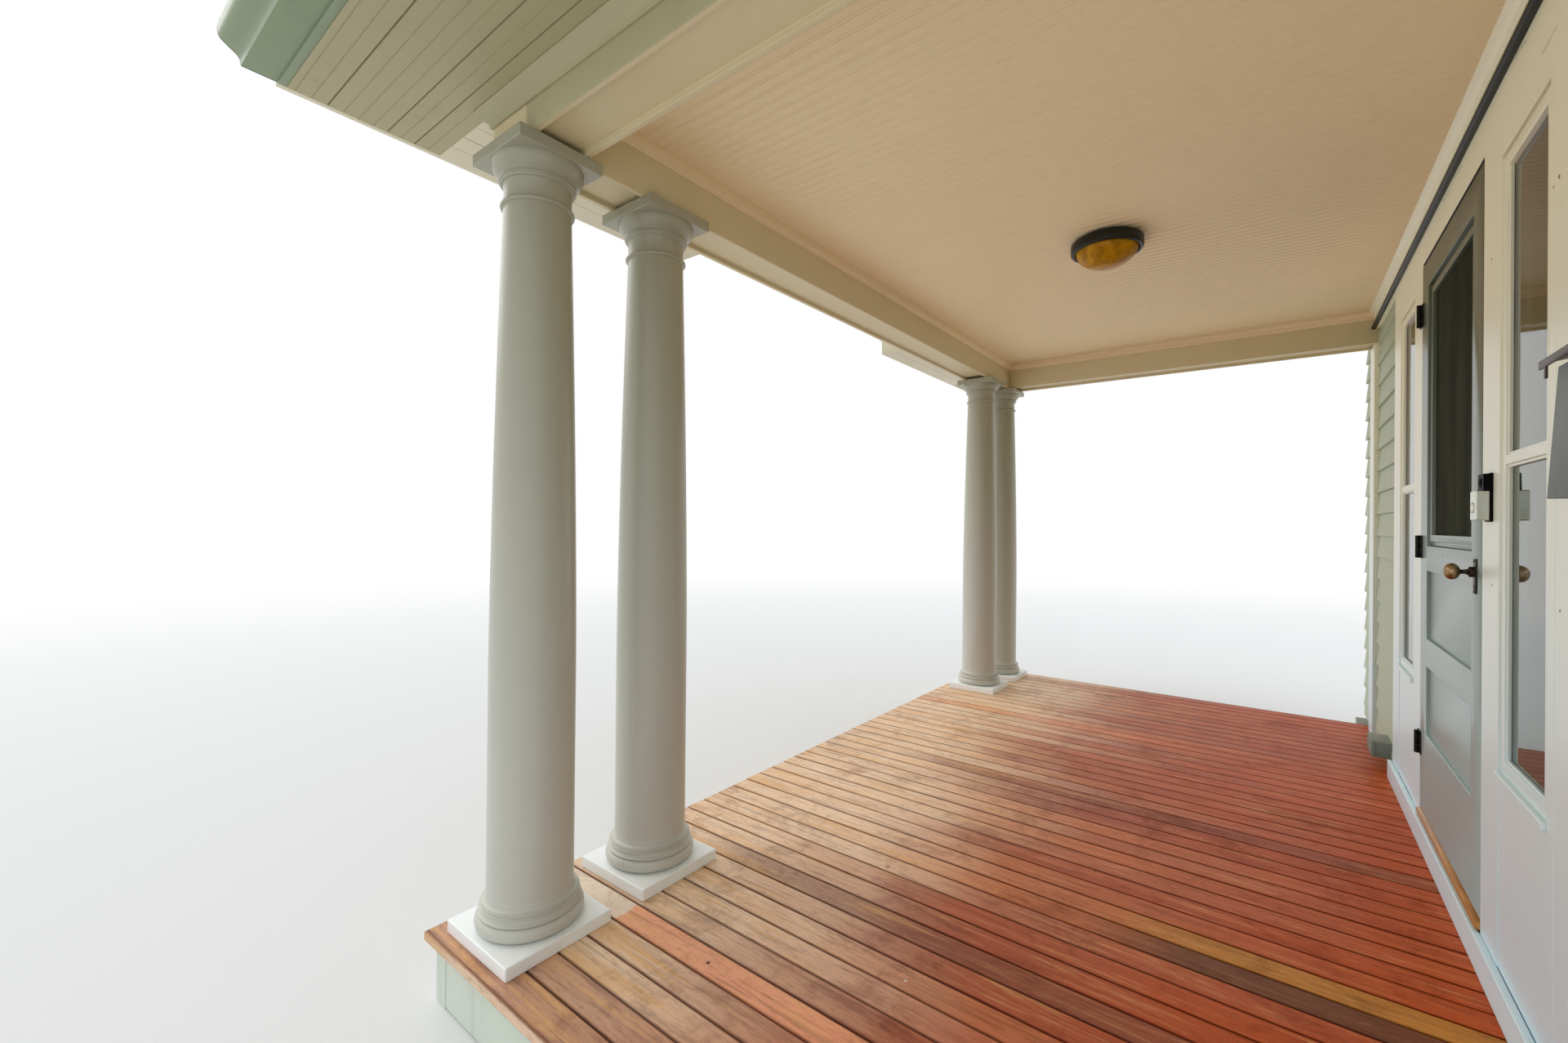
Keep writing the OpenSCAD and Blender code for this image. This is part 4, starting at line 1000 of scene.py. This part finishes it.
def makeRoof():
    r = roof
    pitch = math.atan(r["slope"])
    for hand, name in ((1, "nearShingles"), (-1, "farShingles")):
        along = Vector((0, hand, 0))
        up = Vector((-hand * math.cos(pitch), 0, math.sin(pitch)))
        out = along.cross(up)
        corner = Vector((hand * r["eave"], r["front"] if hand > 0 else r["rear"], r["eaveTop"]))
        tabs = grow(name, shingleCourses, {
            "Courses": r["courses"], "Tabs": r["tabs"], "Course Height": r["course"],
            "Tab Width": r["tabWidth"],
            "Tab Size": (r["tabWidth"] - r["joint"], r["tabLong"], r["tabThick"]),
            "Lean": (-math.atan(r["tabThick"] / r["course"]), 0, 0),
            "Turn": tuple(Matrix((along, up, out)).transposed().to_euler()),
            "Corner": tuple(corner + out * r["rest"]), "Seed": 3,
            "Finish": finishes["roof_covering"]})
        cutOff(tabs, (0, r["front"], 0), (0, -1, 0))
        cutOff(tabs, (0, r["rear"], 0), (0, 1, 0))
        cutOff(tabs, (hand * (r["eave"] + r["overhang"]), 0, 0), (hand, 0, 0))
        finishPiece(tabs, "roof_covering")
    # the rake and return boards take the lighter copy of the cream paint: painted light
    easedCopies([("rakeBoards", "rake_boards", 0.002, "soffit_paint", trimPaint),
                 ("sideFascias", "side_fascias", 0.002, "sage_paint"),
                 ("returnBoards", "front_cornice", 0.002, "soffit_paint", trimPaint),
                 ("returnRoofs", "pediment_apron", 0.003, "roof_covering"),
                 ("ridgeCap", "ridge_cap", 0.003, "roof_covering")])


def makePediment():
    # lapped boards cut to the gable's slope
    p = pediment
    face = p["face"]

    def build(work):
        z = p["start"]
        high = z + p["lap"] + 0.012
        row = 0
        while (p["rise"] - high) / p["slope"] >= 0.05:
            half, halfTop = (p["rise"] - z) / p["slope"], (p["rise"] - high) / p["slope"]
            ring = [(-half, face - p["butt"], z), (half, face - p["butt"], z),
                    (halfTop, face - 0.004, high), (-halfTop, face - 0.004, high)]
            front = [work.verts.new(spot) for spot in ring]
            back = [work.verts.new((x, face + 0.001, height)) for x, _, height in ring]
            work.faces.new(front)
            work.faces.new(back)
            for i in range(4):
                j = (i + 1) % 4
                work.faces.new((front[i], front[j], back[j], back[i]))
            row += 1
            z = p["start"] + row * p["lap"]
            high = z + p["lap"] + 0.012
    finishPiece(easeEdges(newPiece("pedimentLaps", meshOf("pedimentLaps", build)), 0.001),
                "siding_paint")


makeGutters()
makeRoof()
makePediment()
print("ceiling, soffits and roof made")


# entrance wall: white boards, lapped siding and sidelights
wall = {"half": 1.177, "door": 0.460, "lightIn": 0.624, "lightOut": 0.990, "joint": 1.031,
        "doorTop": 2.437, "top": 2.554, "friezeTop": 2.609, "lightTop": 2.360,
        "lightLow": 0.785, "back": 0.028, "beamIn": 1.92, "beamOut": 2.10, "rail": 2.562,
        "railRadius": 0.0100}
siding = {"lap": 0.122, "board": 0.134, "thick": 0.0125, "firstButt": 0.265, "face": 0.0082}
light = {"bar": 0.033, "rail": 1.577, "railHigh": 0.024, "bead": 0.007, "beadFront": 0.0085,
         "glass": 0.016}
shade = {"drop": 0.470, "columns": 12, "rows": 18, "y": 0.0470, "wave": 0.0012}


def makeWall():
    w = wall
    z0, back, top = deckTop, w["back"], w["doorTop"] - 0.0003
    boards = mirrored([
        ((w["door"], 0, z0), (w["lightIn"], back, top)),
        ((w["lightOut"], 0, z0), (w["joint"], back, top)),
        ((w["joint"] + 0.0004, 0.0004, z0), (w["half"], back, top)),
        ((w["lightIn"], 0.002, z0), (w["lightOut"], back, w["lightLow"])),
        ((w["lightIn"], 0.002, w["lightTop"]), (w["lightOut"], back, top)),
    ]) + [((-w["half"], 0, w["doorTop"]), (w["half"], back, w["top"])),
          ((-w["beamIn"], 0, w["top"]), (w["beamIn"], back, w["friezeTop"]))]
    finishPiece(boxes("entranceBoards", boards, 0.0012),
                "white_paint", ["casing_boards", "sidelight_panels", "head_casing"])
    easedCopies([("pilasterBoards", "pilasters", 0.002, "white_paint"),
                 ("baseBoard", "base_board", 0.004, "white_paint"),
                 ("doorSill", "door_sill", 0.002, "sill_wood"),
                 ("doorFrame", "door_frame", 0.0015, "white_paint"),
                 ("innerDoor", "inner_door", 0.002, "dark_paint"),
                 ("sidelightSashes", "sidelight_sashes", 0.002, "white_paint"),
                 ("wallBox", "wall_box", 0.002, "box_paint")])


def makeTrim():
    w = wall
    radius, z = w["railRadius"], w["rail"]
    outline = [(0.0, z - radius)] + arc((-radius, z), radius, 270, 90, 12) + [(0.0, z + radius)]
    rail = drawn("wallRail", outline, -w["beamIn"], w["beamIn"], "x")
    smooth(rail.data, 40)
    finishPiece(rail, "rail_metal", ["wall_rail"])
    sills = mirrored([((w["lightIn"], -0.009, w["lightLow"] - 0.019),
                       (w["lightOut"], 0.002, w["lightLow"]))])
    finishPiece(boxes("sidelightSills", sills, 0.003, 3), "white_paint", ["sidelight_sills"])
    # a dark strip in the gap down the latch side and over the leaf
    strip = [((0.4570, 0.0010, 0.318), (0.4600, 0.030, w["doorTop"])),
             ((-0.4560, 0.0010, 2.4338), (0.4570, 0.030, w["doorTop"]))]
    finishPiece(boxes("weatherStrip", strip, 0.0006), "black_iron", material=stripPaint)


def lapBoards(name, x0, x1, top):
    s = siding
    tilt = math.atan(s["thick"] / s["lap"])
    rows = int(math.ceil((top - s["firstButt"]) / s["lap"]))
    centreY = s["face"] + s["thick"] / 2 + math.sin(tilt) * s["board"] / 2
    piece = grow(name, boardRow, {
        "Boards": rows, "Step": (0, 0, s["lap"]),
        "Board Size": (x1 - x0, s["thick"], s["board"]),
        "First Centre": ((x0 + x1) / 2, centreY, s["firstButt"] + s["board"] / 2),
        "Tilt": (-tilt, 0, 0), "Drift": (0, 0.0004, 0.0006), "Seed": 11,
        "Finish": finishes["siding_paint"]})
    cutOff(piece, (0, 0, top), (0, 0, 1))
    return easeEdges(piece, 0.001)


def makeSiding():
    w, s = wall, siding
    for place, start, end, top in (
            ("InnerLaps", w["half"] + 0.001, w["beamIn"] - 0.0005, w["top"]),
            ("OuterLaps", w["beamOut"] + 0.0005, 2.507, 2.6)):
        for hand, side in ((1, "near"), (-1, "far")):
            a, b = sorted((hand * start, hand * end))
            low, high = (a, s["face"] + 0.004, deckTop + 0.002), (b, 0.028, s["firstButt"] + 0.02)
            for piece in (lapBoards(side + place, a, b, top),
                          boxes(side + place + "Starter", [(low, high)], 0.001)):
                finishPiece(piece, "siding_paint", ["siding"])


def makeSidelights():
    w, g, s = wall, light, shade
    x0, x1 = w["lightIn"] + g["bar"], w["lightOut"] - g["bar"]
    front, back, b = g["beadFront"], g["glass"], g["bead"]
    beads = []
    for low, high in ((w["lightLow"] + g["bar"], g["rail"] - g["railHigh"] / 2),
                      (g["rail"] + g["railHigh"] / 2, w["lightTop"] - g["bar"])):
        beads += [((x0, front, low), (x0 + b, back, high)), ((x1 - b, front, low), (x1, back, high)),
                  ((x0 + b, front, low), (x1 - b, back, low + b)),
                  ((x0 + b, front, high - b), (x1 - b, back, high))]
    finishPiece(boxes("glazingBeads", mirrored(beads)), "white_paint")
    # roller shades behind the upper panes
    top, low, across = w["lightTop"] - 0.004, w["lightTop"] - s["drop"], x1 - x0
    for hand, side in ((1, "near"), (-1, "far")):
        def spot(i, j):
            up = j / s["rows"]
            return (hand * (x0 + across * i / s["columns"]),
                    s["y"] + s["wave"] * math.sin(i * 0.9 + hand) * (1 - up),
                    low + (top - low) * up)
        cloth = sheetPiece(side + "Shade", s["columns"], s["rows"], spot)
        finishPiece(cloth, "shade_cloth", ["roller_shades"])
        ends = sorted((hand * (x0 + 0.002), hand * (x1 - 0.002)))
        bar = boxes(side + "ShadeBar", [((ends[0], s["y"] - 0.0018, low - 0.010),
                                         (ends[1], s["y"] + 0.0026, low + 0.014))])
        finishPiece(bar, "shade_cloth")


makeWall()
makeTrim()
makeSiding()
makeSidelights()
print("entrance wall made")


# screen door: leaf, panels, screen, hinges and knob
screen = {"left": -0.299, "right": 0.299, "low": 1.380, "high": 2.293, "y": 0.0172,
          "columns": 30, "rows": 46, "wave": 0.0008}
knob = {"x": 0.395, "z": 1.280, "ball": 0.0238, "deep": 0.0178, "centre": 0.0370,
        "foot": -0.0118}
hinge = {"x": -0.460, "heights": (0.570, 1.333, 2.247), "face": -0.0028}
screws = {"radius": 0.0036, "height": 0.0014}


def makeDoor():
    easedCopies([("doorLeaf", "door_leaf", 0.0022, "door_paint"),
                 ("doorPanels", "door_panels", 0.001, "door_paint"),
                 ("screenFrame", "screen_frame", 0.0015, "door_paint"),
                 ("hingeLeafPlates", "hinge_leaf_plates", 0.0006, "black_iron")], "screen_door")
    easedCopies([("hingeJambPlates", "hinge_jamb_plates", 0.0006, "black_iron")])
    # a dark strip under the screen's frame, painted shadow in the crease there, and a small worn
    # slot in the rail below it
    low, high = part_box("screen_frame")
    shadowLineAndSlot = boxes("screenSeam", [((low[0] + 0.001, low[1] + 0.0004, low[2] - 0.0012),
                                 (high[0] - 0.001, high[1] - 0.0004, low[2] + 0.0010)),
                                ((-0.0650, -0.0004, 1.3095), (-0.0520, 0.0010, 1.3125))], 0.0003)
    finishPiece(shadowLineAndSlot, "door_paint", (), "screen_door", stripPaint)
    s = screen
    wide, tall = s["right"] - s["left"], s["high"] - s["low"]

    def spot(i, j):
        inside = math.sin(math.pi * i / s["columns"]) * math.sin(math.pi * j / s["rows"])
        return (s["left"] + wide * i / s["columns"],
                s["y"] + s["wave"] * inside * math.sin(i * 0.7 + j * 0.2),
                s["low"] + tall * j / s["rows"])
    cloth = sheetPiece("screenCloth", s["columns"], s["rows"], spot)
    finishPiece(cloth, "screen_cloth", ["screen_mesh"], "screen_door")


def makeKnob():
    k = knob
    easedCopies([("handlePlate", "handle_plate", 0.0015, "old_bronze", darkBronze)],
                "screen_door")
    stem = [(0.0, 0.0), (0.0155, 0.0), (0.0150, 0.002), (0.0118, 0.0035), (0.0090, 0.005),
            (0.0072, 0.008), (0.0062, 0.013), (0.0064, 0.018), (0.0085, 0.0215), (0.0, 0.0215)]
    turns = [math.radians(a) for a in range(12, 174, 7)]
    ball = [(0.0, k["centre"] - k["deep"])]
    ball += [(k["ball"] * math.sin(a), k["centre"] - k["deep"] * math.cos(a)) for a in turns]
    ball += [(0.0, k["centre"] + k["deep"])]
    keyhole = [(0.0, 0.0), (0.0034, 0.0), (0.0034, 0.0006), (0.0, 0.0006)]
    place, keyPlace = [(k["x"], k["foot"], k["z"])], [(k["x"], -0.0040, k["z"] - 0.040)]
    slot = ((k["x"] - 0.0014, -0.0046, k["z"] - 0.050), (k["x"] + 0.0014, -0.0038, k["z"] - 0.041))
    for piece, finish, stands, paint in (
            (turned("knobNeck", stem, place, 40, "front", 60), "old_bronze", ["ball_knob"],
             darkBronze),
            (turned("ballKnob", ball, place, 48, "front", 60), "old_bronze", ["ball_knob"], None),
            (turned("keyhole", keyhole, keyPlace, 20, "front"), "bell_black", (), None),
            (boxes("keyholeSlot", [slot], 0.0003), "bell_black", (), None)):
        finishPiece(piece, finish, stands, "screen_door", paint)


def makeScrews():
    def plateSpots(hand):
        return [(hinge["x"] + hand * dx, hinge["face"], z + dz) for z in hinge["heights"]
                for dx, dz in ((0.022, -0.030), (0.027, 0.0), (0.022, 0.030))]
    knobSpots = [(knob["x"], -0.0045, knob["z"] + dz) for dz in (0.031, -0.056)]
    for name, spots, body in (("leafScrews", plateSpots(1) + knobSpots, "screen_door"),
                              ("jambScrews", plateSpots(-1), "porch")):
        heads = growOnPoints(name, screwHeads, spots, {
            "Head Radius": screws["radius"], "Head Height": screws["height"],
            "Finish": finishes["black_iron"]})
        finishPiece(easeEdges(heads, 0.0004), "black_iron", (), body)


makeDoor()
makeKnob()
makeScrews()
print("screen door made")


# doorbell, mailbox and ceiling light
bell = {"x": 0.539, "left": 0.508, "right": 0.570, "low": 1.422, "high": 0.130, "lens": 1.527,
        "button": 1.460, "plate": -0.0055, "block": -0.0180, "cover": -0.0320, "split": 0.083}
fitting = {"y": -1.038, "top": 2.654, "ring": 0.143, "dome": 0.126, "drop": 0.123}


def makeFittings():
    b = bell
    x0, x1, z0, z1 = b["left"], b["right"], b["low"], b["low"] + b["high"]
    back = boxes("bellBack", [((x0, b["plate"], z0), (x1, 0.0, z1)),
                              ((x0 + 0.001, b["block"], z0 + b["split"] - 0.003),
                               (x1 - 0.001, -0.004, z1 - 0.002))], 0.0035, 3)
    cover = boxes("bellCover", [((x0 + 0.001, b["cover"], z0 + 0.004),
                                 (x1 - 0.001, b["plate"], z0 + b["split"]))], 0.0035, 3)
    lens = [(0.0, 0.0), (0.0125, 0.0), (0.0125, 0.0016), (0.0110, 0.0022), (0.0085, 0.0012),
            (0.0050, 0.0030), (0.0, 0.0040)]
    button = [(0.0, 0.0), (0.0150, 0.0), (0.0150, 0.0010), (0.0138, 0.0016), (0.0128, 0.0004),
              (0.0118, 0.0004), (0.0112, 0.0014), (0.0, 0.0020)]
    for piece, slot, stands in (
            (back, "bell_black", ["doorbell_back"]), (cover, "satin_nickel", ["doorbell_cover"]),
            (turned("bellLens", lens, [(b["x"], b["block"] + 0.0001, b["lens"])], 36, "front"),
             "bell_black", ()),
            (turned("bellButton", button, [(b["x"], b["cover"] + 0.0001, b["button"])], 40,
                    "front"), "satin_nickel", ())):
        finishPiece(piece, slot, stands)
    easedCopies([("mailboxBody", "mailbox_body", 0.002, "mailbox_paint")])
    easedCopies([("mailboxLid", "mailbox_lid", 0.0014, "lid_paint")], "mailbox_flap")
    f = fitting
    centre = [(0.0, f["y"], f["top"])]
    rim = [(-0.0195, 0.0), (-0.0180, -0.002), (-0.0150, -0.006), (-0.0080, -0.0095),
           (-0.0020, -0.012), (-0.0002, -0.0145), (0, -0.0185), (-0.0008, -0.0200), (0, -0.0215),
           (0, -0.0460), (-0.0014, -0.0505), (-0.0050, -0.0538), (-0.0100, -0.0550),
           (-0.0145, -0.0545), (-0.0160, -0.0520), (-0.0162, -0.0300)]
    ring = moulding(f["ring"], 0.0, rim, 0.0)
    edge, turns = f["dome"] - 0.001, [math.radians(a) for a in range(0, 90, 5)]
    dome = [(0.0, -0.0305), (edge, -0.0305)]
    dome += [(edge * math.cos(a), -0.036 - (f["drop"] - 0.036) * math.sin(a)) for a in turns]
    dome += [(0.0, -f["drop"])]
    # the glass hangs from a small finial
    finial = [(0.0, 0.004), (0.0055, 0.003), (0.0060, 0.0012), (0.0045, -0.0006), (0.0, -0.0010)]
    tip = [(0.0, f["y"], f["top"] - f["drop"] + 0.001)]
    for piece, slot, stands in (
            (turned("lightRing", ring, centre, 96, angle=60), "dark_bronze", ["light_ring"]),
            (turned("lightDome", dome, centre, 96, angle=60), "amber_glass", ["light_dome"]),
            (turned("domeFinial", finial, tip, 24, angle=60), "dark_bronze", ())):
        finishPiece(piece, slot, stands)


makeFittings()
print("fittings made")


# old cracks in the caulk and screw marks on the white boards: x and height over the deck
cracks = (((0.724, 2.346), (0.770, 2.344), (0.825, 2.337)),
          ((0.932, 2.238), (0.985, 2.2385), (1.026, 2.241)),
          ((-0.093, 2.334), (-0.040, 2.333), (0.027, 2.329)),
          ((0.059, 2.344), (0.120, 2.340), (0.195, 2.332)))
crackWidth = 0.0009
marks = ((0.559, 1.055, 0.0032), (1.060, 1.039, 0.0034), (1.043, 1.922, 0.0045),
         (1.012, 1.914, 0.0030), (0.539, 1.924, 0.0036))


def makeMarks():
    def build(work):
        for line in cracks:
            for (xa, za), (xb, zb) in zip(line, line[1:]):
                quad = ((xa, za - crackWidth * 0.3), (xb, zb - crackWidth),
                        (xb, zb + crackWidth * 0.4), (xa, za + crackWidth))
                work.faces.new([work.verts.new((x, -0.0002, z + deckTop)) for x, z in quad])
    finishPiece(newPiece("caulkCracks", meshOf("caulkCracks", build)), "dark_paint")
    for i, (x, z, size) in enumerate(marks):
        outline = [(0.0, 0.0), (size, 0.0), (size * 0.8, 0.0007), (0.0, 0.0010)]
        mark = turned(f"screwMark{i + 1}", outline, [(x, 0.0001, z + deckTop)], 12, "front")
        finishPiece(mark, "old_bronze")


makeMarks()
print("marks made")


# floor, light and camera
studio = {"sky": (0.93, 0.96, 1.0, 1), "skyStrength": 0.85, "sun": 1.1, "sunSpread": 60,
          "sunColor": (1.0, 0.985, 0.96), "sunWay": (-0.16, 0.70, -0.70),
          "floor": (0.82, 0.82, 0.81, 1), "floorReach": 60, "fadeFrom": 5.0, "fadeTo": 16.0}
view = {"place": (3.018, -0.4531, 1.400), "yaw": 38.0441, "tilt": 0.1768, "roll": 0.5479,
        "focal": 767.667 / 1920 * 36}
white = (1, 1, 1, 1)


def seenDirectly(tree):
    rays = addNode("ShaderNodeLightPath", tree=tree).socket.node.outputs
    camera, glossy, through = (Value(rays[f"Is {kind} Ray"])
                               for kind in ("Camera", "Glossy", "Transmission"))
    return calc("MAXIMUM", calc("MAXIMUM", camera, glossy), through)


def emptyTree(owner):
    owner.use_nodes = True
    owner.node_tree.nodes.clear()
    return owner.node_tree


def makeStudio():
    s = studio
    scene.world = bpy.data.worlds.new("studio")
    tree = emptyTree(scene.world)
    lit = addNode("ShaderNodeBackground", {"Color": s["sky"], "Strength": s["skyStrength"]},
                  tree=tree)
    plain = addNode("ShaderNodeBackground", {"Color": white, "Strength": 1.0}, tree=tree)
    both = addNode("ShaderNodeMixShader", {0: seenDirectly(tree), 1: lit, 2: plain})
    fill(tree.nodes.new("ShaderNodeOutputWorld"), {0: both})

    reach = s["floorReach"]
    floorMesh = bpy.data.meshes.new("floor")
    floorMesh.from_pydata([(-reach, -reach, 0), (reach, -reach, 0), (reach, reach, 0),
                           (-reach, reach, 0)], [], [(0, 1, 2, 3)])
    floor = newPiece("floor", floorMesh)
    material = bpy.data.materials.new("floorPaper")
    tree = emptyTree(material)
    place = addNode("ShaderNodeTexCoord", out="Object", tree=tree)
    away = addNode("ShaderNodeVectorMath", {0: place}, "Value", operation="LENGTH")
    share = soften(away, s["fadeFrom"], s["fadeTo"]) * seenDirectly(tree)
    paper = addNode("ShaderNodeBsdfDiffuse", {"Color": s["floor"]}, tree=tree)
    glow = addNode("ShaderNodeEmission", {"Color": white, "Strength": 1.0}, tree=tree)
    both = addNode("ShaderNodeMixShader", {0: share, 1: paper, 2: glow})
    fill(tree.nodes.new("ShaderNodeOutputMaterial"), {0: both})
    floor.data.materials.append(material)

    lamp = bpy.data.lights.new("softSun", "SUN")
    lamp.energy = s["sun"]
    lamp.angle = math.radians(s["sunSpread"])
    lamp.color = s["sunColor"]
    sun = bpy.data.objects.new("softSun", lamp)
    sun.rotation_euler = Vector(s["sunWay"]).to_track_quat("-Z", "Y").to_euler()
    scene.collection.objects.link(sun)


def makeCamera():
    v = view
    lens = bpy.data.cameras.new("photoView")
    lens.sensor_fit = "HORIZONTAL"
    lens.sensor_width = 36
    lens.lens = v["focal"]
    lens.clip_start = 0.02
    lens.clip_end = 200
    camera = bpy.data.objects.new("photoView", lens)
    yaw, tilt, roll = (math.radians(v[key]) for key in ("yaw", "tilt", "roll"))
    level = Vector((-math.cos(yaw), -math.sin(yaw), 0))
    side = Vector((-math.sin(yaw), math.cos(yaw), 0))
    ahead = level * math.cos(tilt) + Vector((0, 0, 1)) * math.sin(tilt)
    above = Vector((0, 0, 1)) * math.cos(tilt) - level * math.sin(tilt)
    right = side * math.cos(roll) + above * math.sin(roll)
    upper = above * math.cos(roll) - side * math.sin(roll)
    turn = Matrix((right, upper, -ahead)).transposed().to_4x4()
    camera.matrix_world = Matrix.Translation(v["place"]) @ turn
    scene.collection.objects.link(camera)
    scene.camera = camera


makeStudio()
makeCamera()
scene.view_settings.view_transform = "Standard"
print("studio and camera ready")
